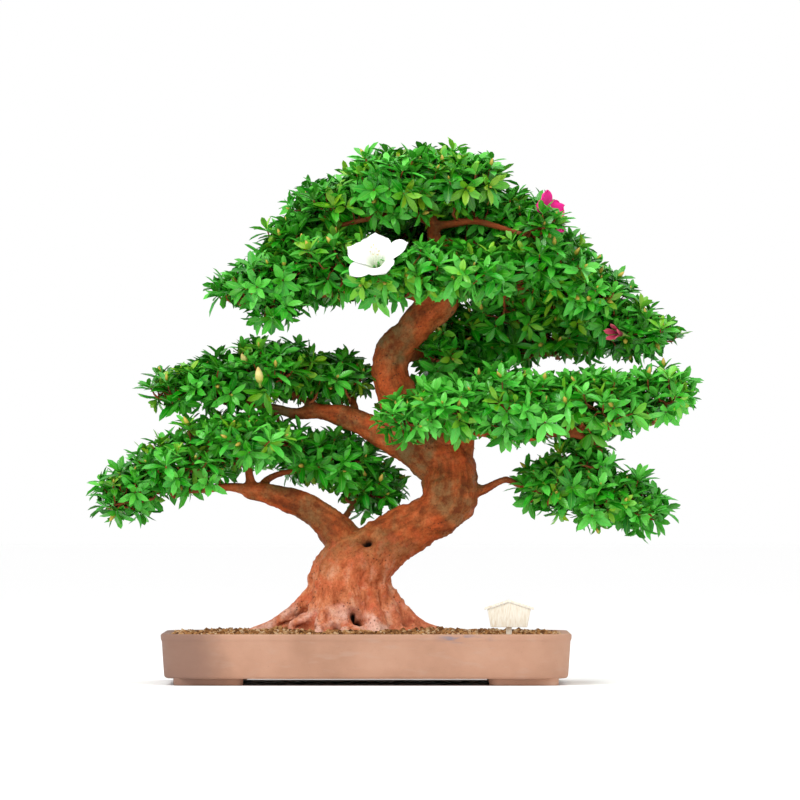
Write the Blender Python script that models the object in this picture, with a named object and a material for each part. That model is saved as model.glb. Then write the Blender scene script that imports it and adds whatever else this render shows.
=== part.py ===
"""Satsuki-style azalea bonsai in a low clay tray, with a bare wooden label.

The script is in metres with +Z up. Hand-read places are in millimetres from the middle of the
tray's footprint, X to the right, Y to the back, Z up from the table, and MM turns them into metres.
"""

import math
import random

import bmesh
import bpy
from mathutils import Matrix, Vector, noise
from mathutils.bvhtree import BVHTree

MM = 0.001
GAP = 0.3  # between two pieces that touch, in mm
OVERSHOOT = 2.0  # how far a cutter runs past what it cuts, in mm
SEED = 11

# Where the middle of the tray stands, so that the whole tree is centred over the origin.
TRAY_CENTRE = (-37.0, -9.0)

# The tray, in mm.
TRAY_WIDTH = 435.0
TRAY_DEPTH = 296.0
TRAY_HEIGHT = 54.0
TRAY_CORNER = 46.0
TRAY_WALL = 11.0
TRAY_FLOOR = 8.0
TRAY_TAPER = 3.0
RIM_DROP = 7.0
RIM_ROUND = 1.6
FOOT_HEIGHT = 7.0
FOOT_LENGTH = 74.0
FOOT_WIDTH = 26.0
FOOT_INSET = 14.0
FOOT_CORNER = 10.0
CORNER_STEPS = 4
# The tray's section as (inset, height), from the foot of the wall outside, over the rim, to the floor.
TRAY_SECTION = [
    (5.0, FOOT_HEIGHT), (1.6, FOOT_HEIGHT + 2.4), (1.0, TRAY_HEIGHT - RIM_DROP),
    (0.0, TRAY_HEIGHT - RIM_DROP + 1.2), (0.0, TRAY_HEIGHT - RIM_ROUND), (1.4, TRAY_HEIGHT),
    (TRAY_WALL - 1.5, TRAY_HEIGHT), (TRAY_WALL, TRAY_HEIGHT - RIM_ROUND), (TRAY_WALL, FOOT_HEIGHT + TRAY_FLOOR),
]
# A foot's section as (height, how much smaller the foot is there than at its top).
FOOT_SECTION = [(0.0, 2.0), (1.5, 0.5), (FOOT_HEIGHT + OVERSHOOT, 0.0)]
FOOT_CORNER_STEPS = 2
DRAIN_RADIUS = 13.0
DRAIN_X = 110.0
DRAIN_SIDES = 14
SCREEN_SIDE = 40.0
SCREEN_THICKNESS = 1.2
SCREEN_HOLE = 7.0
SCREEN_PITCH = 11.0

# The soil, in mm.
SOIL_EDGE = 51.5
SOIL_MOUND = 8.0
SOIL_REACH = (150.0, 105.0)
SOIL_FALL = 1.5
SOIL_ROUGHNESS = 1.2
SOIL_GRAIN = 0.045
SOIL_RINGS = 6

# Centre lines of the wood: (x, y, z, radius) in mm.
TRUNK = [
    (-14, 0, 34, 88), (-14, 0, 56, 80), (-14, 0, 66, 66), (-14, 0, 80, 54), (-13, 0, 96, 47),
    (-10, -1, 113, 42), (-1, -3, 129, 35), (17, -5, 145, 28), (39, -8, 163, 26), (64, -11, 180, 26),
    (83, -13, 195, 27), (91, -13, 213, 27), (84, -10, 234, 26), (68, -5, 251, 24), (50, 0, 270, 21),
    (34, 5, 292, 20), (24, 8, 315, 19), (22, 9, 336, 18), (27, 8, 358, 18), (39, 5, 377, 18),
    (55, 0, 394, 17), (68, -4, 410, 16), (74, -6, 431, 14), (74, -7, 454, 12), (70, -8, 479, 9.5),
    (69, -10, 500, 8), (70, -10, 520, 6.5),
]
LIMBS = {
    "left_low": [
        (-18, 0, 126, 26), (-30, 0, 152, 22), (-48, -4, 174, 18), (-67, -8, 189, 14.5),
        (-87, -11, 197, 12.5), (-109, -13, 203, 10.5), (-130, -14, 206, 8),
    ],
    "left_low_tip": [(-124, -14, 206, 7), (-146, -18, 209, 5), (-168, -24, 207, 4.4), (-196, -26, 218, 3.6)],
    "left_low_rise": [(-123, -14, 204, 6.5), (-125, -12, 220, 5), (-128, -10, 236, 4.2), (-134, -8, 250, 3)],
    "left_low_back": [(-114, -12, 206, 5.5), (-106, -2, 217, 4.2), (-90, 8, 224, 3.6), (-62, 26, 229, 3)],
    "crotch_twig": [(-34, 10, 154, 9), (-26, 28, 172, 5), (-14, 42, 190, 3.6), (-4, 52, 204, 2.8)],
    "left_mid": [
        (54, 0, 262, 17), (27, 6, 270, 13.5), (6, 10, 277, 11.3), (-18, 14, 286, 9.3), (-44, 17, 292, 8),
        (-71, 18, 295, 7), (-98, 16, 298, 5.6), (-134, 11, 303, 4.2), (-170, 5, 312, 3),
    ],
    "left_mid_rise": [(-52, 17, 293, 5), (-69, 22, 304, 3.8), (-98, 24, 322, 3)],
    "left_mid_back": [(-12, 14, 284, 6), (-14, 30, 298, 4.6), (-22, 42, 316, 3.2)],
    "right_twig": [
        (100, -12, 203, 10), (124, -16, 206, 5.6), (140, -20, 214, 4.2), (151, -24, 217, 3.8),
        (168, -26, 209, 3.4), (196, -24, 207, 2.8),
    ],
    "stub": [(88, -11, 222, 14), (103, -14, 241, 11), (111, -16, 254, 9.6)],
    "right_front": [
        (64, -4, 253, 14), (86, -26, 264, 9.5), (111, -44, 269, 7), (137, -52, 266, 6), (166, -54, 262, 5.1),
        (198, -50, 268, 4.4), (239, -42, 274, 3.8), (276, -32, 282, 3.4), (304, -22, 300, 2.8),
    ],
    "right_front_rise": [(92, -31, 266, 5), (88, -48, 274, 3.8), (80, -62, 286, 2.8)],
    "right_droop": [(207, -49, 268, 4), (231, -44, 262, 3.6), (249, -38, 250, 3.2), (238, -28, 236, 2.8)],
    "right_upper": [(30, 8, 352, 13), (57, 30, 354, 8.6), (100, 50, 353, 6.4), (146, 62, 358, 5)],
    "crown_left": [(68, -4, 409, 13), (41, -16, 418, 8.6), (8, -14, 422, 6.6), (-26, -8, 432, 5)],
    "crown_right": [(72, -6, 422, 12), (105, -16, 424, 8), (150, -14, 432, 5.6)],
    "window_right": [
        (68, -9, 489, 8), (89, -20, 491, 6), (115, -26, 494, 5.2), (140, -22, 490, 4.2), (160, -10, 495, 3.4),
    ],
    "window_low": [
        (73, -7, 466, 6.6), (91, 2, 471, 4.8), (117, 10, 468, 4.2), (145, 12, 462, 3.6), (172, 6, 453, 3),
    ],
    "window_left": [(69, -10, 494, 7), (49, -14, 502, 5.4), (25, -12, 501, 4.6), (0, -4, 505, 3.6)],
    "back_low": [(56, 8, 259, 13), (62, 36, 270, 8.6), (66, 64, 279, 6.2), (71, 90, 287, 4.4)],
    "back_crown": [(58, 2, 398, 13), (62, 32, 412, 8), (65, 56, 428, 6), (68, 76, 444, 4.8)],
}
TRUNK_SIDES = 12
TRUNK_FLUTES = 0.05
TWIG_SIDES = 5
THICK_LIMB_SIDES = 8
THICK_LIMB = 12.0

# The flare of roots: (direction in degrees, reach, girth), in mm, 0 degrees to the right, 90 to the back.
ROOTS = [
    (356, 128, 15), (38, 112, 14), (82, 106, 14), (120, 108, 14), (154, 116, 14), (183, 126, 16),
    (215, 112, 14), (243, 104, 13), (268, 98, 12), (298, 100, 14), (327, 108, 13),
]
ROOT_START = 22.0
ROOT_TOP = 55.0
ROOT_LEVEL = 50.0
ROOT_RINGS = 5
ROOT_SIDES = 5
ROOT_AXIS = (-14.0, 0.0)
ROOT_SQUASH = 0.86
ROOT_SWAY = 0.10
ROOT_THINNING = 0.72

# Hollows in the wood: (x, y, z, half width, half depth, half height) in mm.
HOLLOWS = [(-3, -52, 72, 7, 11.2, 10), (-4, -28, 152, 5.5, 8.8, 5.5)]

# Foliage pads: each lobe is (x, y, z, half width, half depth, half height) in mm, out to the leaf tips.
PADS = {
    "foliage_left_low_outer": [(-216, -22, 225, 75, 70, 33)],
    "foliage_left_low_inner": [(-133, -8, 257, 77, 84, 31)],
    "foliage_left_low_back": [(-40, 44, 232, 60, 60, 34), (0, 54, 212, 42, 48, 33)],
    "foliage_left_mid": [
        (-168, 6, 322, 62, 58, 27), (-105, 12, 330, 61, 76, 30), (-40, 44, 327, 56, 60, 29),
    ],
    "foliage_crown_left": [
        (-106, -6, 428, 66, 72, 32), (-42, 0, 447, 60, 98, 44), (12, -56, 435, 52, 64, 32),
        (-44, 76, 440, 52, 56, 35),
    ],
    "foliage_crown_top": [
        (-32, 6, 509, 56, 72, 34), (28, 0, 530, 62, 88, 44), (96, 4, 530, 60, 84, 43), (158, 4, 506, 64, 78, 36),
    ],
    "foliage_crown_right": [
        (110, -48, 436, 70, 70, 32), (186, 0, 446, 68, 88, 39), (238, -2, 423, 58, 70, 36),
    ],
    "foliage_crown_back": [(70, 86, 460, 86, 56, 42), (52, 86, 488, 52, 48, 30)],
    "foliage_right_upper": [
        (282, 14, 372, 54, 58, 28), (216, 48, 368, 68, 56, 28), (140, 68, 366, 66, 58, 30),
        (96, 56, 347, 52, 48, 35),
    ],
    "foliage_right_front": [
        (78, -66, 291, 58, 52, 32), (154, -56, 300, 66, 66, 39), (240, -34, 303, 68, 74, 37),
        (302, -14, 309, 50, 56, 30),
    ],
    "foliage_right_low": [
        (206, -20, 214, 48, 52, 37), (258, -16, 199, 60, 54, 35), (230, -24, 236, 38, 40, 29),
    ],
    "foliage_back": [(75, 96, 291, 64, 54, 32)],
}
CORE_INSET = (17.0, 17.0, 18.0)
CORE_SIDES = 8
CORE_RINGS = 4
LEAF_LENGTH = 34.0
LEAF_WIDTH = 16.5
LEAF_BROADEST = 0.52
LEAF_RISE = 0.42
LEAF_DROOP = 0.10
LEAF_FOLD = 1.7
LEAF_SPREAD = (0.88, 1.06)
LEAVES_PER_SHOOT = (5, 5, 5, 6)
HUB_RADIUS = 3.6
HUB_ABOVE = 2.2
HUB_BELOW = 2.4
STEM_LENGTH = 9.0
STEM_ROOT = 8.0
STEM_RADIUS = 2.2
SHOOT_SPACING = 34.0
SHOOT_TURNS = 8
SHOOT_NEARBY = 2.4 * LEAF_LENGTH
CROSSINGS_ALLOWED = 7
UPWARD = 0.25
SIDEWAYS = 0.15
UNDERSIDE = -0.45
CANDIDATES = 200

# Flowers: middle of the mouth, the way it faces and radius, in mm.
WHITE_FLOWER = {
    "at": (9, -112, 455), "faces": (-0.18, -1.0, 0.85), "radius": 32, "flare": 1.5, "steps": 5, "rings": 4,
}
PINK_FLOWER = {
    "at": (192, -52, 508), "faces": (0.75, -0.62, 0.25), "radius": 25, "flare": 1.4, "steps": 4, "rings": 3,
}
SPENT_FLOWER = {
    "at": (263, -47, 373), "faces": (-0.62, -0.78, 0.05), "radius": 9, "flare": 0.8, "steps": 3, "rings": 3,
}
FLOWER_TUBE = 24.0
FLOWER_THROAT = 2.0
MOUTH_SHARE = 0.80
PETALS = 5
PETAL_THICKNESS = 1.0
PETAL_LIP = 0.35
PETAL_WALL = 0.75
PETAL_NOTCH = 0.34
PETAL_LIFT = 0.28
STALK_SIDES = 5
STALK_RADII = (2.4, 1.6)
STALK_LENGTH = 26.0
STALK_SINK = 2.5
CLEAR_AHEAD = 14.0
CLEAR_BEHIND = 1.0
BOSS_RADIUS = 1.1
BOSS_LENGTH = 3.0
BOSS_SIDES = 6
FILAMENTS = 5
FILAMENT_LENGTH = 25.0
FILAMENT_SPREAD = 7.0
FILAMENT_RADIUS = 0.6
FILAMENT_SIDES = 4
STYLE_LENGTH = 33.0
ANTHER_LENGTH = 2.5
ANTHER_RADII = (1.3, 0.7)

# Buds: foot, the way it points, length, radius and where its stem stands in the leaves' core, in mm.
BUDS = {
    "bud_cream_upper": {
        "foot": (-128, -36, 341), "points": (-0.4, -0.5, 0.8), "length": 13, "radius": 3.6,
        "root": (-118, -6, 329),
    },
    "bud_cream_lower": {
        "foot": (-113, -56, 319), "points": (-0.12, -0.30, 1.0), "length": 19, "radius": 4.6,
        "root": (-107, -14, 328),
    },
}
# A bud's section as (share of its length, share of its radius).
BUD_SECTION = [(0.0, 0.55), (0.22, 1.0), (0.5, 0.86), (0.8, 0.40), (1.0, 0.08)]
BUD_SIDES = 6
BUD_STEM_RADII = (1.7, 1.5, 1.3)
BUD_STEM_SIDES = 5
BUD_STEM_DROP = 3.5
BUD_STEM_SINK = 3.0

# The label, in mm.
LABEL_X = 150.0
LABEL_Y = -108.0
LABEL_TOP_WIDTH = 43.5
LABEL_FOOT_WIDTH = 35.5
LABEL_EAVES = 19.0
LABEL_PEAK = 26.5
LABEL_BASE = 61.0
LABEL_THICKNESS = 3.0
LABEL_ROOF = 2.4
LABEL_OVERHANG = 3.0
ROOF_FRONT = 1.6
ROOF_BACK = 1.4
ROOF_GAP = 1.1 * GAP
STAKE_WIDTH = 6.0
STAKE_DEPTH = 26.0
STAKE_POINT = 7.0
STAKE_TOP = 15.0

COLOURS = {
    "clay": ((0.46, 0.27, 0.17, 1.0), 0.75),
    "earth": ((0.16, 0.085, 0.04, 1.0), 0.95),
    "bark": ((0.42, 0.15, 0.07, 1.0), 0.8),
    "leaf": ((0.03, 0.24, 0.03, 1.0), 0.4),
    "white_petal": ((0.90, 0.91, 0.88, 1.0), 0.5),
    "pink_petal": ((0.82, 0.01, 0.28, 1.0), 0.5),
    "spent_petal": ((0.45, 0.02, 0.07, 1.0), 0.6),
    "bud": ((0.75, 0.68, 0.28, 1.0), 0.5),
    "stamen": ((0.80, 0.84, 0.60, 1.0), 0.5),
    "pale_wood": ((0.86, 0.76, 0.58, 1.0), 0.7),
    "screen": ((0.05, 0.05, 0.05, 1.0), 0.6),
}


def clear_scene():
    for obj in list(bpy.data.objects):
        bpy.data.objects.remove(obj)


def make_material(name):
    colour, roughness = COLOURS[name]
    material = bpy.data.materials.get(name) or bpy.data.materials.new(name)
    material.use_nodes = True
    shader = material.node_tree.nodes["Principled BSDF"]
    shader.inputs["Base Color"].default_value = colour
    shader.inputs["Roughness"].default_value = roughness
    shader.inputs["Metallic"].default_value = 0.0
    return material


def add_object(name, mesh, material=None, parent=None):
    obj = bpy.data.objects.new(name, mesh)
    bpy.context.scene.collection.objects.link(obj)
    if material:
        mesh.materials.clear()
        mesh.materials.append(make_material(material))
    obj.parent = parent
    return obj


def mesh_from(points, faces, name="shape"):
    """A mesh from points in mm and faces, with its normals turned outwards."""
    mesh = bpy.data.meshes.new(name)
    mesh.from_pydata([Vector(p) * MM for p in points], [], faces)
    shape = bmesh.new()
    shape.from_mesh(mesh)
    bmesh.ops.recalc_face_normals(shape, faces=shape.faces)
    shape.to_mesh(mesh)
    shape.free()
    return mesh


def boolean(obj, others, operation):
    """Joins or cuts obj with all of others at once, applies the result and removes the others."""
    group = bpy.data.collections.new("tools")
    bpy.context.scene.collection.children.link(group)
    for other in others:
        bpy.context.scene.collection.objects.unlink(other)
        group.objects.link(other)
    modifier = obj.modifiers.new(operation.lower(), "BOOLEAN")
    modifier.operation = operation
    modifier.operand_type = "COLLECTION"
    modifier.collection = group
    bpy.context.view_layer.update()
    evaluated = obj.evaluated_get(bpy.context.evaluated_depsgraph_get())
    result = bpy.data.meshes.new_from_object(evaluated)
    obj.modifiers.clear()
    obj.data = result
    for other in others:
        bpy.data.objects.remove(other)
    bpy.data.collections.remove(group)


def keep_largest_body(obj):
    """Drops the loose scraps that a cut can leave."""
    shape = bmesh.new()
    shape.from_mesh(obj.data)
    unseen = set(shape.faces)
    bodies = []
    while unseen:
        body = [unseen.pop()]
        for face in body:
            for edge in face.edges:
                for near in edge.link_faces:
                    if near in unseen:
                        unseen.remove(near)
                        body.append(near)
        bodies.append(body)
    bodies.sort(key=len)
    for scrap in bodies[:-1]:
        bmesh.ops.delete(shape, geom=scrap, context="FACES")
    loose = [v for v in shape.verts if not v.link_faces]
    bmesh.ops.delete(shape, geom=loose, context="VERTS")
    shape.to_mesh(obj.data)
    shape.free()


def smooth_shade(obj, degrees=40):
    obj.data.shade_smooth()
    obj.data.set_sharp_from_angle(angle=math.radians(degrees))


def tube_mesh(line, sides, swell=0.0, flutes=0.0):
    """A closed tube along (x, y, z, radius) points. swell widens it for a cutter, flutes groove it lengthways."""
    centres = [Vector(p[:3]) for p in line]
    if swell:
        centres[0] -= (centres[1] - centres[0]).normalized() * swell
        centres[-1] += (centres[-1] - centres[-2]).normalized() * swell
    last = len(line) - 1
    points = []
    side = Vector((0, 1, 0))
    for i, centre in enumerate(centres):
        along = (centres[min(i + 1, last)] - centres[max(i - 1, 0)]).normalized()
        side = (side - along * side.dot(along)).normalized()
        across = along.cross(side)
        for k in range(sides):
            turn = math.tau * k / sides
            radius = line[i][3] * (1 + flutes * math.sin(3 * turn + 0.5 * i)) + swell
            points.append(centre + (side * math.cos(turn) + across * math.sin(turn)) * radius)
    faces = [tuple(range(sides)), tuple(range(last * sides, (last + 1) * sides))]
    for i in range(last):
        for k in range(sides):
            a = i * sides + k
            b = i * sides + (k + 1) % sides
            faces += [(a, b, b + sides), (a, b + sides, a + sides)]
    return mesh_from(points, faces)


def ellipsoid_mesh(centre, radii):
    """A ball of 80 faces, stretched to its radii."""
    shape = bmesh.new()
    bmesh.ops.create_icosphere(shape, subdivisions=2, radius=MM)
    bmesh.ops.transform(shape, matrix=Matrix.Diagonal((*radii, 1)), verts=shape.verts)
    bmesh.ops.translate(shape, vec=Vector(centre) * MM, verts=shape.verts)
    mesh = bpy.data.meshes.new("ellipsoid")
    shape.to_mesh(mesh)
    shape.free()
    return mesh


def root_line(direction, reach, girth):
    """A root leaves the trunk high, falls as the square of what is left of its reach, and thins."""
    angle = math.radians(direction)
    line = []
    for i in range(ROOT_RINGS):
        t = i / (ROOT_RINGS - 1)
        distance = ROOT_START + (reach - ROOT_START) * t
        bend = angle + ROOT_SWAY * math.sin(3.0 * t + direction)
        x = ROOT_AXIS[0] + distance * math.cos(bend)
        y = ROOT_AXIS[1] + distance * math.sin(bend) * ROOT_SQUASH
        z = ROOT_LEVEL + ROOT_TOP * (1 - t) ** 2
        line.append((x, y, z, girth * (1 - ROOT_THINNING * t)))
    return line


def wood_tubes(swell=0.0):
    """The trunk, its limbs and its roots as separate closed tubes."""
    tubes = [add_object("wood", tube_mesh(TRUNK, TRUNK_SIDES, swell, TRUNK_FLUTES))]
    for line in LIMBS.values():
        sides = THICK_LIMB_SIDES if line[1][3] > THICK_LIMB else TWIG_SIDES
        tubes.append(add_object("limb", tube_mesh(line, sides, swell)))
    for root in ROOTS:
        tubes.append(add_object("root", tube_mesh(root_line(*root), ROOT_SIDES, swell)))
    return tubes


def make_trunk(parent):
    first, *others = wood_tubes()
    boolean(first, others, "UNION")
    hollows = [
        add_object("hollow", ellipsoid_mesh((x, y, z), (across, deep, up)))
        for x, y, z, across, deep, up in HOLLOWS
    ]
    boolean(first, hollows, "DIFFERENCE")
    keep_largest_body(first)
    trunk = add_object("trunk", first.data, "bark", parent)
    bpy.data.objects.remove(first)
    smooth_shade(trunk, 55)
    return trunk


def rounded_loop(width, depth, corner, z, steps=CORNER_STEPS):
    """Points round a rectangle with round corners, at height z."""
    points = []
    for k, (sx, sy) in enumerate(((1, 1), (-1, 1), (-1, -1), (1, -1))):
        middle = Vector((sx * (width / 2 - corner), sy * (depth / 2 - corner), z))
        for step in range(steps + 1):
            turn = math.radians(90 * k + 90 * step / steps)
            points.append(middle + Vector((math.cos(turn), math.sin(turn), 0)) * corner)
    return points


def loft(loops):
    """A closed solid through loops of points, with flat ends."""
    count = len(loops[0])
    points = [p for loop in loops for p in loop]
    faces = [tuple(range(count)), tuple(range(len(points) - count, len(points)))]
    for i in range(len(loops) - 1):
        for k in range(count):
            a = i * count + k
            b = i * count + (k + 1) % count
            faces.append((a, b, b + count, a + count))
    return mesh_from(points, faces)


def tray_loop(inset, z):
    """The tray's outline at height z, drawn in by inset. The wall leans in towards its foot."""
    lean = TRAY_TAPER * (1 - z / TRAY_HEIGHT)
    size = 2 * (inset + lean)
    return rounded_loop(TRAY_WIDTH - size, TRAY_DEPTH - size, TRAY_CORNER - inset - lean, z)


def box_mesh(low, high):
    x0, y0, z0 = low
    x1, y1, z1 = high
    points = [(x, y, z) for z in (z0, z1) for y in (y0, y1) for x in (x0, x1)]
    faces = [(0, 1, 3, 2), (4, 5, 7, 6), (0, 1, 5, 4), (2, 3, 7, 6), (0, 2, 6, 4), (1, 3, 7, 5)]
    return mesh_from(points, faces)


def cylinder_mesh(centre, radius, low, high, sides):
    line = [(centre[0], centre[1], low, radius), (centre[0], centre[1], high, radius)]
    return tube_mesh(line, sides)


def make_foot(sx, sy):
    """One low corner foot, drawn in a little towards the table."""
    x = sx * (TRAY_WIDTH / 2 - FOOT_INSET - FOOT_LENGTH / 2)
    y = sy * (TRAY_DEPTH / 2 - FOOT_INSET - FOOT_WIDTH / 2)
    loops = []
    for z, less in FOOT_SECTION:
        size = (FOOT_LENGTH - less, FOOT_WIDTH - less)
        loop = rounded_loop(*size, FOOT_CORNER - less / 2, z, FOOT_CORNER_STEPS)
        loops.append([p + Vector((x, y, 0)) for p in loop])
    return add_object("foot", loft(loops))


def make_tray(parent):
    tray = add_object("tray", loft([tray_loop(inset, z) for inset, z in TRAY_SECTION]))
    feet = [make_foot(sx, sy) for sx in (-1, 1) for sy in (-1, 1)]
    boolean(tray, feet, "UNION")
    high = FOOT_HEIGHT + TRAY_FLOOR + OVERSHOOT
    drains = [
        add_object("drain", cylinder_mesh((x, 0), DRAIN_RADIUS, FOOT_HEIGHT - OVERSHOOT, high, DRAIN_SIDES))
        for x in (-DRAIN_X, DRAIN_X)
    ]
    boolean(tray, drains, "DIFFERENCE")
    pot = add_object("pot", tray.data, "clay", parent)
    bpy.data.objects.remove(tray)
    smooth_shade(pot, 35)
    return pot


def make_screens(parent):
    """Mesh squares that keep the soil from falling through the drain holes."""
    low = FOOT_HEIGHT + TRAY_FLOOR + GAP
    for side, x in (("left", -DRAIN_X), ("right", DRAIN_X)):
        half = SCREEN_SIDE / 2
        high = low + SCREEN_THICKNESS
        plate = add_object("plate", box_mesh((x - half, -half, low), (x + half, half, high)))
        holes = []
        for i in (-0.5, 0.5):
            for j in (-0.5, 0.5):
                cx = x + i * SCREEN_PITCH
                cy = j * SCREEN_PITCH
                reach = SCREEN_HOLE / 2
                holes.append(add_object("hole", box_mesh(
                    (cx - reach, cy - reach, low - OVERSHOOT),
                    (cx + reach, cy + reach, high + OVERSHOOT),
                )))
        boolean(plate, holes, "DIFFERENCE")
        add_object("drain_screen_" + side, plate.data, "screen", parent)
        bpy.data.objects.remove(plate)


def soil_height(x, y):
    """The soil is level at the rim and rises to a low mound round the trunk."""
    away = math.hypot((x - ROOT_AXIS[0]) / SOIL_REACH[0], y / SOIL_REACH[1])
    crumb = noise.noise(Vector((x, y, 0)) * SOIL_GRAIN) * SOIL_ROUGHNESS
    return SOIL_EDGE + SOIL_MOUND * math.exp(-away * away * SOIL_FALL) + crumb


def make_soil(parent):
    """Fills the tray to 0.3 mm from its walls, with a rough top and plain holes for what stands in it."""
    floor = FOOT_HEIGHT + TRAY_FLOOR + GAP
    base = [tray_loop(TRAY_WALL + GAP, z) for z in (floor, SOIL_EDGE)]
    count = len(base[1])
    loops = [base[0]]
    for ring in range(SOIL_RINGS):
        shrink = 1 - ring / SOIL_RINGS
        loops.append([
            Vector((p.x * shrink, p.y * shrink, soil_height(p.x * shrink, p.y * shrink))) for p in base[1]
        ])
    points = [p for loop in loops for p in loop] + [Vector((0, 0, soil_height(0, 0)))]
    top = len(points) - 1
    faces = [tuple(range(count))]
    for i in range(len(loops) - 1):
        for k in range(count):
            a, b = i * count + k, i * count + (k + 1) % count
            faces += [(a, b, b + count), (a, b + count, a + count)]
    rim = (len(loops) - 1) * count
    faces += [(rim + k, rim + (k + 1) % count, top) for k in range(count)]
    block = add_object("block", mesh_from(points, faces))
    cutters = wood_tubes(GAP)
    half = SCREEN_SIDE / 2 + GAP
    high = floor + SCREEN_THICKNESS + GAP
    for x in (-DRAIN_X, DRAIN_X):
        corners = ((x - half, -half, floor - OVERSHOOT), (x + half, half, high))
        cutters.append(add_object("pocket", box_mesh(*corners)))
    stake = STAKE_WIDTH / 2 + GAP
    cutters.append(add_object("slot", box_mesh(
        (LABEL_X - stake, LABEL_Y - GAP, LABEL_BASE - STAKE_DEPTH - GAP),
        (LABEL_X + stake, LABEL_Y + LABEL_THICKNESS + GAP, LABEL_BASE + OVERSHOOT),
    )))
    boolean(block, cutters, "DIFFERENCE")
    keep_largest_body(block)
    soil = add_object("soil", block.data, "earth", parent)
    bpy.data.objects.remove(block)
    smooth_shade(soil, 30)
    return soil


def shoot_shape(at, out, up, turn, leaves, length):
    """A whorl of leaves on a three-sided stem, as one closed shape.

    The stem runs along out from a point under the core's surface. Each leaf is folded along its rib, rises
    from the hub and droops at its tip.
    """
    hub = at + out * STEM_LENGTH
    side = up.orthogonal().normalized()
    across = up.cross(side)

    def place(angle, distance, sideways, lift):
        away = side * math.cos(angle) + across * math.sin(angle)
        beside = across * math.cos(angle) - side * math.sin(angle)
        height = LEAF_RISE * distance - LEAF_DROOP * distance * distance / length + lift
        return hub + away * distance + beside * sideways + up * height

    half = LEAF_WIDTH / 2 * length / LEAF_LENGTH
    points = [hub + up * HUB_ABOVE, at - out * STEM_ROOT]
    points += [place(turn + math.tau * k / 3, STEM_RADIUS, 0, -HUB_BELOW) for k in range(3)]
    for leaf in range(leaves):
        angle = turn + math.tau * leaf / leaves
        points.append(place(angle, HUB_RADIUS, 0, 0))
        points.append(place(angle + math.pi / leaves, LEAF_BROADEST * length, -half, LEAF_FOLD))
        points.append(place(angle + math.pi / leaves, length, 0, 0))
        points.append(place(angle + math.pi / leaves, LEAF_BROADEST * length, half, LEAF_FOLD))
    faces = [(1, 3, 2), (1, 4, 3), (1, 2, 4)]
    count = 4 * leaves
    for k in range(count):
        a, b = 5 + k, 5 + (k + 1) % count
        corner = 2 + k // 4 * 3 // leaves
        faces += [(0, a, b), (corner, b, a)]
        if k == count - 1 or (k + 1) // 4 * 3 // leaves + 2 != corner:
            faces.append((corner, 2 + (corner - 1) % 3, b))
    return points, faces


def tree_of(obj):
    """A search tree of an object's faces in mm, for asking what crosses it."""
    points = [vertex.co / MM for vertex in obj.data.vertices]
    return BVHTree.FromPolygons(points, [tuple(face.vertices) for face in obj.data.polygons])


def inside(point, lobe, radii):
    """Whether a point lies in an ellipsoid at a lobe's middle."""
    return sum(((point[i] - lobe[i]) / radii[i]) ** 2 for i in range(3)) < 1


def core_radii(lobe):
    return tuple(radius - inset for radius, inset in zip(lobe[3:], CORE_INSET))


def core_mesh(lobe):
    """The lobe's ellipsoid drawn in, with few sides, for the leaves to stand out of."""
    shape = bmesh.new()
    bmesh.ops.create_uvsphere(shape, u_segments=CORE_SIDES, v_segments=CORE_RINGS, radius=MM)
    bmesh.ops.transform(shape, matrix=Matrix.Rotation(lobe[0], 4, "Z"), verts=shape.verts)
    bmesh.ops.transform(shape, matrix=Matrix.Diagonal((*core_radii(lobe), 1)), verts=shape.verts)
    bmesh.ops.translate(shape, vec=Vector(lobe[:3]) * MM, verts=shape.verts)
    bmesh.ops.triangulate(shape, faces=shape.faces)
    mesh = bpy.data.meshes.new("core")
    shape.to_mesh(mesh)
    shape.free()
    return mesh


def shoot_places(lobes, chooser):
    """Places spread evenly over the outside of a pad's cores, with the way out at each, in a shuffled order."""
    places = []
    for lobe in lobes:
        radii = core_radii(lobe)
        for k in range(CANDIDATES):
            height = 1 - (k + 0.5) * 2 / CANDIDATES
            ring = math.sqrt(1 - height * height)
            turn = k * math.pi * (3 - math.sqrt(5)) + lobe[0]
            unit = Vector((ring * math.cos(turn), ring * math.sin(turn), height))
            at = Vector([lobe[i] + unit[i] * radii[i] for i in range(3)])
            out = Vector([unit[i] / radii[i] for i in range(3)]).normalized()
            if out.z > UNDERSIDE and not any(inside(at, o, core_radii(o)) for o in lobes if o is not lobe):
                places.append((at, out))
    chooser.shuffle(places)
    return places


def crossings(tree, others):
    return sum(len(tree.overlap(other)) for other in others)


def grow_shoots(lobes, own, blocked, chooser):
    """Roots a whorl at each free place, turned to where it crosses least, or leaves the place bare."""
    grown = []
    for at, out in shoot_places(lobes, chooser):
        if any((at - other).length < SHOOT_SPACING for other, _, _ in grown):
            continue
        near = [tree for other, tree, _ in grown if (at - other).length < SHOOT_NEARBY]
        lean = Vector((chooser.uniform(-SIDEWAYS, SIDEWAYS), chooser.uniform(-SIDEWAYS, SIDEWAYS), UPWARD))
        leaves = chooser.choice(LEAVES_PER_SHOOT)
        length = LEAF_LENGTH * chooser.uniform(*LEAF_SPREAD)
        best = None
        for turn in range(SHOOT_TURNS):
            angle = math.tau * turn / SHOOT_TURNS / leaves
            shape = shoot_shape(at, out, (out + lean).normalized(), angle, leaves, length)
            tree = BVHTree.FromPolygons(*shape)
            crossed = crossings(tree, near + own)
            if (best is None or crossed < best[0]) and not crossings(tree, blocked):
                best = (crossed, tree, shape)
        if best and best[0] <= CROSSINGS_ALLOWED:
            grown.append((at, best[1], best[2]))
    return grown


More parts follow.
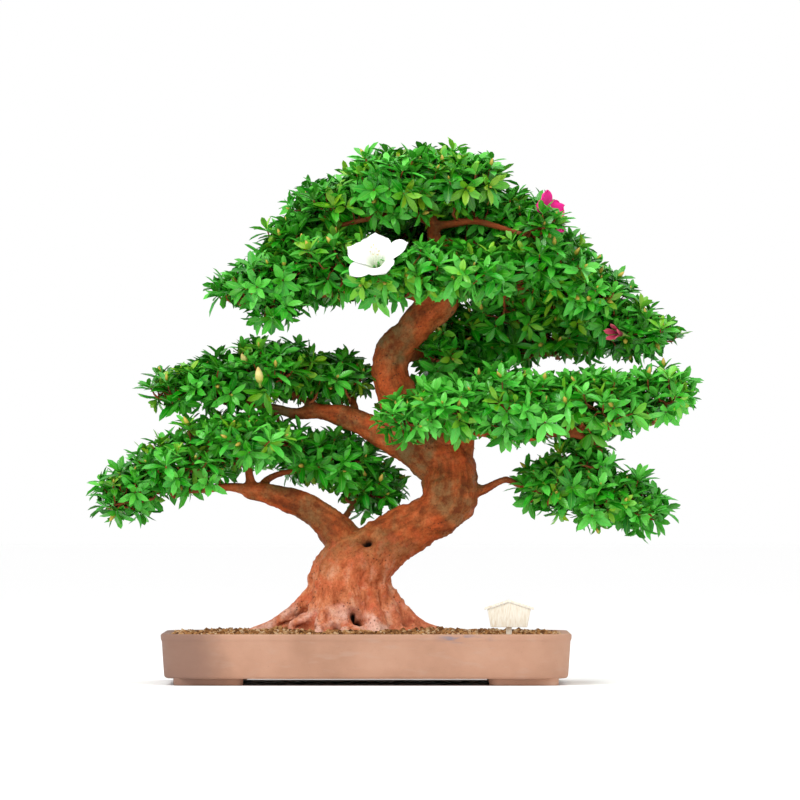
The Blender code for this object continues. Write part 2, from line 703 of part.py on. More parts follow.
def make_pads(parent):
    """Each pad is a smaller core of its lobes with whorls of leaves rooted in it, cut clear of the wood."""
    chooser = random.Random(SEED)
    fixed = wood_tubes(2 * GAP) + seat_cutters(3 * GAP)
    blocked = [tree_of(obj) for obj in fixed]
    cores = {pad: [add_object("core", core_mesh(lobe)) for lobe in lobes] for pad, lobes in PADS.items()}
    core_trees = {pad: [tree_of(core) for core in cores[pad]] for pad in PADS}
    for pad, lobes in PADS.items():
        others = [tree for other in PADS if other != pad for tree in core_trees[other]]
        grown = grow_shoots(lobes, core_trees[pad], blocked + others, chooser)
        blocked += [tree for _, tree, _ in grown]
        shoots = [add_object("shoot", mesh_from(*shape)) for _, _, shape in grown]
        first, *rest = cores[pad]
        boolean(first, rest + shoots, "UNION")
        boolean(first, wood_tubes(GAP) + seat_cutters(GAP), "DIFFERENCE")
        keep_largest_body(first)
        add_object(pad, first.data, "leaf", parent)
        bpy.data.objects.remove(first)
    for obj in fixed:
        bpy.data.objects.remove(obj)


def flower_frame(faces):
    """A turn that carries +Z to the way a flower faces."""
    return Vector((0, 0, 1)).rotation_difference(Vector(faces).normalized()).to_matrix()


def corolla_rings(flower, swell=0.0):
    """The outside of a funnel of petals: it opens as a power of the height, its rim drawn in between petals."""
    turn = flower_frame(flower["faces"])
    at = Vector(flower["at"])
    around = PETALS * flower["steps"]
    rings = []
    for ring in range(flower["rings"]):
        t = ring / (flower["rings"] - 1)
        for k in range(around):
            angle = math.tau * k / around
            lobe = abs(math.cos(PETALS * angle / 2))
            reach = 1 - PETAL_NOTCH * (1 - lobe) ** 1.6 * t * t
            spread = FLOWER_THROAT + (flower["radius"] - FLOWER_THROAT) * t ** flower["flare"] * reach
            height = FLOWER_TUBE * (t - MOUTH_SHARE) + PETAL_LIFT * flower["radius"] * t * (lobe - 0.5)
            out = Vector((math.cos(angle), math.sin(angle), 0)) * (spread + swell)
            rings.append(at + turn @ (out + Vector((0, 0, height - swell))))
    return rings


def corolla_mesh(flower):
    """The funnel as a thin shell, with a rounded lip."""
    around = PETALS * flower["steps"]
    turn = flower_frame(flower["faces"])
    at = Vector(flower["at"])
    outer = corolla_rings(flower)
    inner = []
    for k, point in enumerate(outer):
        inset = PETAL_THICKNESS * (PETAL_WALL if k < around * (flower["rings"] - 1) else PETAL_LIP)
        place = turn.inverted() @ (point - at)
        out = Vector((place.x, place.y, 0))
        place -= out.normalized() * min(inset, out.length * 0.5)
        inner.append(at + turn @ (place + Vector((0, 0, inset * 1.1))))
    points = outer + inner
    shift = len(outer)
    faces = [tuple(range(around)), tuple(shift + k for k in range(around))]
    for ring in range(flower["rings"] - 1):
        for k in range(around):
            a, b = ring * around + k, ring * around + (k + 1) % around
            faces += [(a, b, b + around), (a, b + around, a + around)]
            a, b = a + shift, b + shift
            faces += [(a, b + around, b), (a, a + around, b + around)]
    rim = (flower["rings"] - 1) * around
    for k in range(around):
        a, b = rim + k, rim + (k + 1) % around
        faces += [(a, b, shift + b), (a, shift + b, shift + a)]
    return mesh_from(points, faces)


def funnel_cutter(flower):
    """A closed block that clears the leaves out of a flower and from just before it."""
    around = PETALS * flower["steps"]
    rings = corolla_rings(flower, CLEAR_BEHIND)
    faces = Vector(flower["faces"]).normalized()
    rings += [p + faces * CLEAR_AHEAD for p in rings[-around:]]
    return loft([rings[k:k + around] for k in range(0, len(rings), around)])


def stalk_line(flower):
    """The short stalk behind a flower, thick enough to stand in the leaves."""
    faces = Vector(flower["faces"]).normalized()
    foot = Vector(flower["at"]) - faces * FLOWER_TUBE * MOUTH_SHARE
    return [(*foot, STALK_RADII[0]), (*(foot - faces * STALK_LENGTH), STALK_RADII[1])]


def seat_cutters(swell):
    """What the leaves keep clear of: the flowers with their stalks, and the buds."""
    cutters = []
    for flower in (WHITE_FLOWER, PINK_FLOWER, SPENT_FLOWER):
        cutters.append(add_object("seat", tube_mesh(stalk_line(flower), STALK_SIDES, swell)))
        cutters.append(add_object("seat", funnel_cutter(flower)))
    for bud in BUDS.values():
        cutters.append(add_object("seat", bud_mesh(bud, swell)))
        cutters.append(add_object("seat", tube_mesh(bud_stem_line(bud), BUD_STEM_SIDES, swell)))
    return cutters


def make_flower(name, flower, material, parent):
    corolla = add_object("corolla", corolla_mesh(flower))
    line = stalk_line(flower)
    faces = Vector(flower["faces"]).normalized()
    line[0] = (*(Vector(line[0][:3]) + faces * STALK_SINK), line[0][3])
    boolean(corolla, [add_object("stalk", tube_mesh(line, STALK_SIDES))], "UNION")
    add_object(name, corolla.data, material, parent)
    bpy.data.objects.remove(corolla)


def make_stamens(parent):
    """A style and a ring of filaments with their anthers, standing on a boss at the foot of the white flower."""
    turn = flower_frame(WHITE_FLOWER["faces"])
    foot = Vector(WHITE_FLOWER["at"]) + turn @ Vector((0, 0, STALK_SINK + GAP - MOUTH_SHARE * FLOWER_TUBE))
    top = foot + turn @ Vector((0, 0, BOSS_LENGTH))
    first = add_object("boss", tube_mesh([(*foot, BOSS_RADIUS), (*top, 0.8 * BOSS_RADIUS)], BOSS_SIDES))
    start = foot.lerp(top, 0.5)
    others = []
    for k in range(FILAMENTS + 1):
        angle = math.tau * k / FILAMENTS
        spread, reach = FILAMENT_SPREAD, FILAMENT_LENGTH + 2 * (k % 2)
        if k == FILAMENTS:
            spread, reach = 0.0, STYLE_LENGTH
        out = Vector((math.cos(angle), math.sin(angle), 0)) * spread
        middle = foot + turn @ (out * 0.35 + Vector((0, 0, reach * 0.5)))
        tip = foot + turn @ (out + Vector((0, 0, reach)))
        end = tip + (tip - middle).normalized() * ANTHER_LENGTH
        line = [(*point, FILAMENT_RADIUS) for point in (start, middle, tip)]
        line += [(*tip.lerp(end, 0.4), ANTHER_RADII[0]), (*end, ANTHER_RADII[1])]
        others.append(add_object("filament", tube_mesh(line, FILAMENT_SIDES)))
    boolean(first, others, "UNION")
    add_object("white_flower_stamens", first.data, "stamen", parent)
    bpy.data.objects.remove(first)


def bud_mesh(bud, swell=0.0):
    """A closed bud, round below and drawn out to a point."""
    foot, along = Vector(bud["foot"]), Vector(bud["points"]).normalized()
    line = [(*(foot + along * bud["length"] * t), bud["radius"] * size) for t, size in BUD_SECTION]
    return tube_mesh(line, BUD_SIDES, swell)


def bud_stem_line(bud):
    """The stem starts inside the bud, leaves it along its axis and bends to where it stands in the leaves."""
    foot, along = Vector(bud["foot"]), Vector(bud["points"]).normalized()
    knots = (foot + along * BUD_STEM_SINK, foot - along * BUD_STEM_DROP, Vector(bud["root"]))
    return [(*knot, radius) for knot, radius in zip(knots, BUD_STEM_RADII)]


def make_bud(name, bud, parent):
    body = add_object("body", bud_mesh(bud))
    boolean(body, [add_object("stem", tube_mesh(bud_stem_line(bud), BUD_STEM_SIDES))], "UNION")
    smooth_shade(add_object(name, body.data, "bud", parent))
    bpy.data.objects.remove(body)


def label_outline():
    """The label's five corners in its own plane, from the foot round to the left."""
    foot, top = LABEL_FOOT_WIDTH / 2, LABEL_TOP_WIDTH / 2
    return [(-foot, 0), (foot, 0), (top, LABEL_EAVES), (0, LABEL_PEAK), (-top, LABEL_EAVES)]


def plate_mesh(outline, low_y, high_y):
    """A flat plate of an outline in X and Z, between two depths."""
    points = [(LABEL_X + x, y, LABEL_BASE + z) for y in (low_y, high_y) for x, z in outline]
    count = len(outline)
    faces = [tuple(range(count)), tuple(range(count, 2 * count))]
    for k in range(count):
        a, b = k, (k + 1) % count
        faces.append((a, b, b + count, a + count))
    return mesh_from(points, faces)


def make_label(parent):
    """A five-sided board with a strip along its two eaves, and a stake behind it that stands in the soil."""
    front = LABEL_Y - LABEL_THICKNESS - GAP
    add_object("label_board", plate_mesh(label_outline(), front, LABEL_Y - GAP), "pale_wood", parent)
    eave = LABEL_TOP_WIDTH / 2 + LABEL_OVERHANG
    peak = LABEL_PEAK + ROOF_GAP
    drop = peak - (LABEL_PEAK - LABEL_EAVES) * eave / (LABEL_TOP_WIDTH / 2)
    strip = [
        (-eave, drop), (0, peak), (eave, drop),
        (eave, drop + LABEL_ROOF), (0, peak + LABEL_ROOF), (-eave, drop + LABEL_ROOF),
    ]
    add_object("label_roof", plate_mesh(strip, front - ROOF_FRONT, LABEL_Y + ROOF_BACK), "pale_wood", parent)
    half, shoulder = STAKE_WIDTH / 2, STAKE_POINT - STAKE_DEPTH
    stake = [(-half, STAKE_TOP), (-half, shoulder), (0, -STAKE_DEPTH), (half, shoulder), (half, STAKE_TOP)]
    add_object("label_stake", plate_mesh(stake, LABEL_Y, LABEL_Y + LABEL_THICKNESS), "pale_wood", parent)


def main():
    clear_scene()
    centre = bpy.data.objects.new("tray_centre", None)
    bpy.context.scene.collection.objects.link(centre)
    centre.location = (TRAY_CENTRE[0] * MM, TRAY_CENTRE[1] * MM, 0.0)
    make_tray(centre)
    make_screens(centre)
    make_soil(centre)
    make_trunk(centre)
    make_pads(centre)
    make_flower("white_flower", WHITE_FLOWER, "white_petal", centre)
    make_stamens(centre)
    make_flower("pink_flower", PINK_FLOWER, "pink_petal", centre)
    make_flower("spent_flower", SPENT_FLOWER, "spent_petal", centre)
    for name, bud in BUDS.items():
        make_bud(name, bud, centre)
    make_label(centre)


main()
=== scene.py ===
# An azalea bonsai in a low clay tray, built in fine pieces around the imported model.
import math

import bmesh
import bpy
import numpy as np
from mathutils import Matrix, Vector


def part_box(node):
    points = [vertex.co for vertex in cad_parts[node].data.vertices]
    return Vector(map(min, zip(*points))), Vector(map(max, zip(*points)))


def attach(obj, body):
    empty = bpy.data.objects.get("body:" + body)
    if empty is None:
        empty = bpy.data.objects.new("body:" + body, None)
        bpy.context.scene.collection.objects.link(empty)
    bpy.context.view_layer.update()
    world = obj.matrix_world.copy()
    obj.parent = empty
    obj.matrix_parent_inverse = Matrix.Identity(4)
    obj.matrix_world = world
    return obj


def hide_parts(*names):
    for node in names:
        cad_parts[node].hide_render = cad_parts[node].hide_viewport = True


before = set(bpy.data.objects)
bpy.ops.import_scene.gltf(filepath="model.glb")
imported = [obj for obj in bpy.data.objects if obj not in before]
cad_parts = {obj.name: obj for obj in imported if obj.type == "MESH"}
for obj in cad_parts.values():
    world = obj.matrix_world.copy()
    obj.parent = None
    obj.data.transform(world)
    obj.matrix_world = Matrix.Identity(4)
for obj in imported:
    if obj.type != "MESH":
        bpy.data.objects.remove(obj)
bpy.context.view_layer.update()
print("frame loaded with", len(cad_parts), "nodes")

mm = 0.001
potLow, potHigh = (np.array(corner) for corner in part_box("pot"))
trayCentre = (potLow + potHigh) / 2 * [1, 1, 0]  # all places below are in mm from here
goldenAngle = 2.39996


# general helpers for points, meshes and pieces
def unit(vectors):
    # each row brought to length one
    return vectors / np.maximum(np.linalg.norm(vectors, axis=-1, keepdims=True), 1e-9)


def softNoise(points, wavelength, seed, waves=14):
    # a smooth noise of about unit spread: a sum of sine waves of one wavelength in random directions
    draw = np.random.default_rng(seed)
    direction = unit(draw.normal(size=(waves, 3))) * draw.uniform(0.75, 1.3, (waves, 1)) * math.tau / wavelength
    return np.sin(points @ direction.T + draw.uniform(0, math.tau, waves)).sum(1) * math.sqrt(2 / waves)


def gridFaces(rows, columns, closed=True):
    # quads between neighbouring rows of points, where a closed row joins on to its own start
    k = np.arange(columns if closed else columns - 1)
    after = (k + 1) % columns
    row = (np.arange(rows - 1) * columns)[:, None]
    return np.stack([row + k, row + after, row + after + columns, row + k + columns], -1).reshape(-1, 4)


def ringFaces(count, stations, sides):
    # faces of tubes whose points run: one end point, the rings in order, the other end point
    perTube = stations * sides + 2
    k = np.arange(sides)
    after = (k + 1) % sides
    last = 1 + (stations - 1) * sides
    start = np.stack([np.zeros_like(k), 1 + after, 1 + k], -1)
    end = np.stack([np.full_like(k, perTube - 1), last + k, last + after], -1)
    shift = (np.arange(count) * perTube)[:, None, None]
    quads, caps = gridFaces(stations, sides) + 1, np.vstack([start, end])
    return [(quads + shift).reshape(-1, 4), (caps + shift).reshape(-1, 3)]


def loft(loops):
    # closed skin through loops with the same number of points, its two ends closed by one face each
    count, around = len(loops), len(loops[0])
    k = np.arange(around)
    return np.vstack(loops), [gridFaces(count, around), k[None, ::-1], (k + (count - 1) * around)[None]]


def tubes(paths, sides, cap=0.5):
    # a tube round each path of (x, y, z, radius): centre + radius * (cos turn * side + sin turn * across)
    centre, radius = paths[..., :3], paths[..., 3:]
    along = unit(np.gradient(centre, axis=1))
    side = np.empty_like(centre)
    carried = unit(np.cross(along[:, 0], [0.31, 0.9, 0.27]))
    for i in range(paths.shape[1]):  # the side is carried along without twisting
        carried = unit(carried - along[:, i] * (carried * along[:, i]).sum(1, keepdims=True))
        side[:, i] = carried
    across = np.cross(along, side)
    turn = np.arange(sides)[:, None] * math.tau / sides
    ring = side[:, :, None] * np.cos(turn) + across[:, :, None] * np.sin(turn)
    skin = (centre[:, :, None] + ring * radius[:, :, None]).reshape(len(paths), -1, 3)
    first = centre[:, :1] - along[:, :1] * radius[:, :1] * cap
    final = centre[:, -1:] + along[:, -1:] * radius[:, -1:] * cap
    points = np.concatenate([first, skin, final], axis=1).reshape(-1, 3)
    return points, ringFaces(len(paths), paths.shape[1], sides)


def joined(shapes):
    # several (points, faces) as one
    points, groups, shift = [], [], 0
    for shapePoints, shapeGroups in shapes:
        points.append(shapePoints)
        groups += [faces + shift for faces in shapeGroups]
        shift += len(shapePoints)
    return np.vstack(points), groups


def smoothPath(knots, spacing):
    # a Catmull-Rom curve through the knots, each column worked out alike
    knots = np.array(knots, float)
    padded = np.vstack([2 * knots[0] - knots[1], knots, 2 * knots[-1] - knots[-2]])
    rows = []
    for i in range(len(knots) - 1):
        steps = max(2, int(round(np.linalg.norm(knots[i + 1, :3] - knots[i, :3]) / spacing)))
        t = np.linspace(0, 1, steps, endpoint=False)[:, None]
        a, b, c, d = padded[i:i + 4]
        square, cube = 2 * a - 5 * b + 4 * c - d, 3 * b - a - 3 * c + d
        rows.append(0.5 * (2 * b + (c - a) * t + square * t**2 + cube * t**3))
    path = np.vstack(rows + [knots[-1:]])
    path[:, 3] = np.maximum(path[:, 3], 0.4)
    return path


def placePoints(mesh, points):
    mesh.vertices.foreach_set("co", (trayCentre + points * mm).astype(np.float32).ravel())


def buildMesh(name, points, groups):
    mesh = bpy.data.meshes.new(name)
    corners = np.concatenate([faces.ravel() for faces in groups]).astype(np.int32)
    sizes = np.concatenate([np.full(len(faces), faces.shape[1], np.int32) for faces in groups])
    mesh.vertices.add(len(points))
    placePoints(mesh, points)
    mesh.loops.add(len(corners))
    mesh.loops.foreach_set("vertex_index", corners)
    mesh.polygons.add(len(sizes))
    mesh.polygons.foreach_set("loop_start", (np.cumsum(sizes) - sizes).astype(np.int32))
    mesh.update(calc_edges=True)
    mesh.shade_smooth()
    return mesh


def setValues(mesh, **values):
    # under each name one number, or one vector, for each point
    for name, rows in values.items():
        kind, key = ("FLOAT", "value") if rows.ndim == 1 else ("FLOAT_VECTOR", "vector")
        mesh.attributes.new(name, kind, "POINT").data.foreach_set(key, rows.astype(np.float32).ravel())


def setUv(mesh, uv):
    corners = np.empty(len(mesh.loops), np.int32)
    mesh.loops.foreach_get("vertex_index", corners)
    mesh.uv_layers.new(name="UVMap").data.foreach_set("uv", uv[corners].astype(np.float32).ravel())


def getVectors(items, key):
    flat = np.empty(len(items) * 3, np.float32)
    items.foreach_get(key, flat)
    return flat.reshape(-1, 3)


def getPoints(mesh):
    return (getVectors(mesh.vertices, "co") - trayCentre) / mm


def newObject(name, data):
    made = bpy.data.objects.new(name, data)
    bpy.context.scene.collection.objects.link(made)
    return made


def newPiece(name, points, groups):
    return newObject(name, buildMesh(name, points, groups))


def addModifier(piece, kind, **settings):
    made = piece.modifiers.new(kind.lower(), kind)
    for key, value in settings.items():
        setattr(made, key, value)


def applyModifiers(piece):
    evaluated = piece.evaluated_get(bpy.context.evaluated_depsgraph_get())
    mesh = bpy.data.meshes.new_from_object(evaluated)
    piece.modifiers.clear()
    piece.data = mesh


def finishPiece(piece, material, slotName, *nodes):
    piece.data.materials.clear()
    piece.data.materials.append(material)
    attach(piece, "root")
    if nodes:
        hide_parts(*nodes)


# helpers for materials: they all work on the node tree of the material that was made last
def newMaterial(name, **constants):
    global tree
    material = bpy.data.materials.new(name)
    material.use_nodes = True
    tree = material.node_tree
    for key, value in constants.items():
        tree.nodes["Principled BSDF"].inputs[key.replace("_", " ")].default_value = value
    return material


def setInputs(node, inputs):
    for key, value in inputs.items():
        if isinstance(value, bpy.types.NodeSocket):
            tree.links.new(value, node.inputs[key])
        else:
            node.inputs[key].default_value = value


def addNode(kind, inputs, **settings):
    made = tree.nodes.new("ShaderNode" + kind)
    for key, value in settings.items():
        setattr(made, key, value)
    setInputs(made, inputs)
    return made


def dress(colour, relief=None, distance=0.0, strength=1.0, roughness=None):
    # the material's colour, and where given a bump from the height called relief, and its roughness
    looks = {"Base Color": colour}
    if roughness is not None:
        looks["Roughness"] = roughness
    if relief is not None:
        bump = addNode("Bump", {"Height": relief, "Distance": distance, "Strength": strength})
        looks["Normal"] = bump.outputs[0]
    setInputs(tree.nodes["Principled BSDF"], looks)


def mixColour(factor, a, b, blend="MIX"):
    return addNode("Mix", {0: factor, 6: a, 7: b}, data_type="RGBA", blend_type=blend).outputs[2]


def ramp(value, *stops):
    made = addNode("ValToRGB", {"Fac": value})
    elements = made.color_ramp.elements
    while len(elements) < len(stops):
        elements.new(0.5)
    for element, (position, colour) in zip(elements, stops):
        element.position = position
        element.color = (*colour[:3], 1)
    return made.outputs["Color"]


def fade(value, low, high, start=0.0, end=1.0):
    # goes smoothly from start to end while value goes from low to high
    return addNode("MapRange", {
        "Value": value, "From Min": low, "From Max": high, "To Min": start, "To Max": end,
    }, interpolation_type="SMOOTHSTEP").outputs["Result"]


def calculate(operation, a, b=0.0):
    return addNode("Math", {0: a, 1: b}, operation=operation).outputs[0]


def times(a, b):
    return calculate("MULTIPLY", a, b)


def plus(a, b):
    return calculate("ADD", a, b)


def minus(a, b):
    return calculate("SUBTRACT", a, b)


def noiseAt(place, scale, detail=4.0, rough=0.55, output="Fac"):
    noise = addNode("TexNoise", {"Vector": place, "Scale": scale, "Detail": detail, "Roughness": rough})
    return noise.outputs[output]


def stretched(place, scale):
    return addNode("Mapping", {"Vector": place, "Scale": scale}).outputs[0]


def objectPlace(scale=(1, 1, 1)):
    # object coordinates from the middle of the tray
    place = addNode("TexCoord", {}).outputs["Object"]
    moved = addNode("VectorMath", {0: place, 1: tuple(-trayCentre)}, operation="ADD")
    return stretched(moved.outputs[0], scale)


def separated(vector):
    return addNode("SeparateXYZ", {0: vector}).outputs


def uvPlace():
    return addNode("UVMap", {}, uv_map="UVMap").outputs[0]


def pointValue(name, output="Fac"):
    return addNode("Attribute", {}, attribute_name=name).outputs[output]


# the wood: centre lines of (x, y, z, radius)
wood = {
    "voxel": 2.1,  # mm
    "sides": (28, 14), "thickFrom": 12,  # sides of a thick path's tube and of a thin one's
    "seed": 5,
    "trunk": [
        (-16, 0, 34, 78), (-16, 0, 50, 68), (-17, 0, 64, 57), (-18, 0, 80, 49), (-18, 0, 96, 46),
        (-17, -1, 113, 42), (-4, -3, 129, 36), (16, -5, 145, 29), (38, -8, 160, 27), (62, -11, 173, 25),
        (85, -13, 188, 27), (90, -13, 209, 30), (88, -10, 234, 26), (70, -5, 252, 24), (52, 0, 271, 21),
        (38, 5, 292, 20), (30, 8, 315, 19.5), (25, 9, 336, 19.5), (31, 8, 358, 18.5), (48, 5, 377, 17.5),
        (64, 0, 394, 18.5), (79, -4, 410, 19), (84, -6, 431, 15), (80, -7, 454, 10.5), (72, -8, 479, 7.5),
        (69, -10, 500, 6), (70, -10, 520, 5),
    ],
    "limbs": [
        [(-24, 0, 126, 26), (-26, 0, 152, 21), (-44, -4, 172, 17), (-66, -8, 189, 14.5),
         (-87, -11, 197, 12.5), (-109, -13, 203, 10.5), (-130, -14, 206, 8)],
        [(-124, -14, 206, 7), (-146, -18, 209, 5), (-168, -24, 207, 4.4), (-196, -27, 205, 3.6),
         (-228, -28, 204, 2.2)],
        [(-123, -14, 204, 6.5), (-125, -12, 220, 5), (-128, -10, 236, 4.2), (-134, -8, 250, 3)],
        [(-114, -12, 206, 5.5), (-106, -2, 217, 4.2), (-90, 8, 224, 3.6), (-62, 26, 229, 3),
         (-44, 36, 230, 2.2)],
        [(-127, -10, 232, 3.7), (-140, -16, 235, 3.2), (-155, -22, 237, 2.7), (-174, -26, 239, 2.1)],
        [(-34, 10, 154, 9), (-26, 28, 172, 5), (-14, 42, 190, 3.6), (-4, 52, 204, 2.8)],
        [(74, -5, 232, 21), (54, 0, 250, 21.5), (32, 5, 261, 18), (12, 9, 268, 14.5), (-9, 13, 279, 12.5),
         (-31, 16, 287, 10.5), (-54, 17, 290, 8), (-76, 18, 288, 6.4), (-98, 16, 293, 5.4),
         (-134, 11, 301, 4.2), (-170, 5, 305, 3), (-196, 2, 310, 2)],
        [(-52, 17, 293, 5), (-69, 22, 304, 3.8), (-98, 24, 316, 3), (-122, 26, 320, 2)],
        [(-12, 14, 284, 6), (-14, 30, 298, 4.6), (-22, 42, 312, 3.2)],
        [(100, -12, 203, 10), (124, -16, 206, 5.6), (140, -20, 214, 4.2), (151, -24, 217, 3.8),
         (168, -26, 209, 3.4), (196, -24, 203, 2.8), (230, -20, 196, 2)],
        [(88, -11, 222, 14), (101, -14, 240, 11.5), (106, -19, 258, 9.5), (110, -30, 280, 6)],
        [(64, -4, 253, 14), (86, -26, 264, 9.5), (111, -44, 269, 7), (137, -52, 266, 6),
         (166, -54, 262, 5.1), (198, -50, 266, 4.4), (239, -42, 273, 3.8), (276, -32, 280, 3.4),
         (306, -22, 290, 2.4)],
        [(92, -31, 266, 5), (88, -48, 274, 3.8), (80, -62, 286, 2.8)],
        [(207, -49, 267, 4), (231, -44, 262, 3.6), (249, -38, 250, 3.2), (244, -30, 232, 2.8),
         (240, -26, 216, 2.2)],
        [(30, 8, 352, 13), (57, 30, 354, 8.6), (100, 50, 353, 6.4), (146, 62, 354, 5), (196, 54, 353, 4.2),
         (240, 44, 356, 3.4), (276, 30, 360, 2.4)],
        [(76, -4, 409, 13), (46, -16, 418, 8.6), (8, -20, 418, 6.6), (-30, -16, 417, 5), (-66, -12, 414, 4),
         (-104, -10, 412, 2.6)],
        [(80, -6, 422, 12), (108, -16, 424, 8), (150, -18, 424, 6.4), (190, -14, 422, 5),
         (228, -10, 412, 3.6), (256, -6, 408, 2.4)],
        [(68, -9, 488, 6), (89, -15, 490, 4.6), (115, -19, 493, 4), (143, -26, 486, 3.4),
         (169, -30, 478, 2.8), (190, -26, 474, 2)],
        [(75, -7, 466, 6.6), (91, 2, 471, 4.8), (117, 12, 469, 4.2), (145, 16, 464, 3.6),
         (176, 16, 458, 2.6)],
        [(69, -10, 494, 7), (49, -20, 502, 5.4), (25, -28, 501, 4.6), (-4, -32, 494, 3.6),
         (-32, -28, 487, 2.4)],
        [(56, 8, 259, 13), (62, 36, 270, 8.6), (66, 64, 279, 6.2), (71, 90, 287, 4.4), (76, 112, 290, 2.8)],
        [(66, 2, 398, 13), (66, 32, 412, 8), (65, 56, 428, 6), (68, 76, 440, 4.8), (72, 96, 450, 3)],
    ],
    # roots: (direction in degrees, reach, girth), 0 degrees to the right and 90 to the back
    "roots": [
        (356, 128, 15), (38, 112, 14), (82, 106, 14), (120, 108, 14), (154, 116, 14), (183, 126, 16),
        (215, 112, 14), (243, 104, 13), (268, 98, 12), (298, 100, 14), (327, 108, 13),
    ],
    "rootTop": 58, "rootFall": (2.5, 0.5), "rootLevel": 50, "rootStart": 24,
    "rootAxis": (-15, 0), "rootSquash": 0.86,
    # grooves: depth, degrees from a root to full depth, the height where they end, and how far they fade
    "groove": (9, 17, 122, 50),
    # hollows in the front: (x, z, half width, half height, how far the skin sinks)
    "hollows": [
        (-14, 75.5, 4.2, 4.0, 22), (-8, 70.5, 6.5, 4.0, 26), (-35, 84, 5, 4.5, 6), (-41, 70, 3.0, 6.0, 6),
        (-34, 60, 4, 3.4, 12), (-87, 61, 7, 3, 8), (-70, 60, 6, 3, 8), (-66, 78, 3.6, 5, 5),
        (43, 66, 6.5, 3.6, 10), (4, 86, 3.6, 8, 6), (-2, 118, 2.6, 5.5, 4), (0, 152, 6.0, 4.2, 15),
    ],
    "frontOf": -8, "fullShadeFrom": 15,  # hollows lie in front of this y, and are painted in full shade from this depth
}


def rootPaths():
    # A root leaves the trunk high, falls as a power of what is left of its reach, more steeply on the right,
    # and thins. Two thin forks leave its far half.
    draw = np.random.default_rng(wood["seed"])
    axisX, axisY = wood["rootAxis"]
    fall, lean = wood["rootFall"]
    paths = []

    def radial(direction, reach, girth, t0, turnBy, wobble):
        t = np.linspace(t0, 1, 14)
        ahead = math.radians(direction)
        distance = wood["rootStart"] + (reach - wood["rootStart"]) * t
        bend = ahead + 0.10 * np.sin(3 * t + direction) + turnBy * (t - t0) + wobble * np.sin(9 * t)
        level = wood["rootLevel"] + wood["rootTop"] * (1 - t) ** (fall + lean * math.cos(ahead))
        across = distance * np.sin(bend) * wood["rootSquash"]
        return np.stack([axisX + distance * np.cos(bend), axisY + across, level, girth * (1 - 0.72 * t)], 1)

    for direction, reach, girth in wood["roots"]:
        paths.append(radial(direction, reach, girth, 0, 0, 0.02))
        for sign in (-1, 1):
            start, far = draw.uniform(0.3, 0.6), draw.uniform(0.85, 1.02)
            fork = radial(direction, reach * far, girth * 0.62, start, sign * draw.uniform(0.35, 0.6), 0.03)
            fork[:, 3] *= np.linspace(1, 0.55, len(fork))
            paths.append(fork)
    return paths


def woodSamples(paths):
    # stations along every centre line, with the frame and the length run so far at each
    rows = []
    for path in paths:
        centre = path[:, :3]
        along = unit(np.gradient(centre, axis=0))
        side = np.empty_like(centre)
        carried = np.array([0.0, 1.0, 0.0])
        for i, direction in enumerate(along):
            carried = unit(carried - direction * carried.dot(direction))
            side[i] = carried
        run = np.concatenate([[0], np.cumsum(np.linalg.norm(np.diff(centre, axis=0), axis=1))])
        rows.append(np.hstack([path, along, side, run[:, None]]))
    return np.vstack(rows)


def nearestWood(points, samples):
    # for each point the station whose skin is nearest, and the distance from that skin
    best = np.empty(len(points), int)
    gap = np.empty(len(points))
    for start in range(0, len(points), 4000):
        part = points[start:start + 4000]
        away = np.linalg.norm(part[:, None] - samples[None, :, :3], axis=2) - samples[:, 3]
        best[start:start + 4000] = away.argmin(1)
        gap[start:start + 4000] = away.min(1)
    return best, gap


woodPaths = [smoothPath(knots, 4) for knots in [wood["trunk"]] + wood["limbs"]] + rootPaths()
samples = woodSamples(woodPaths)


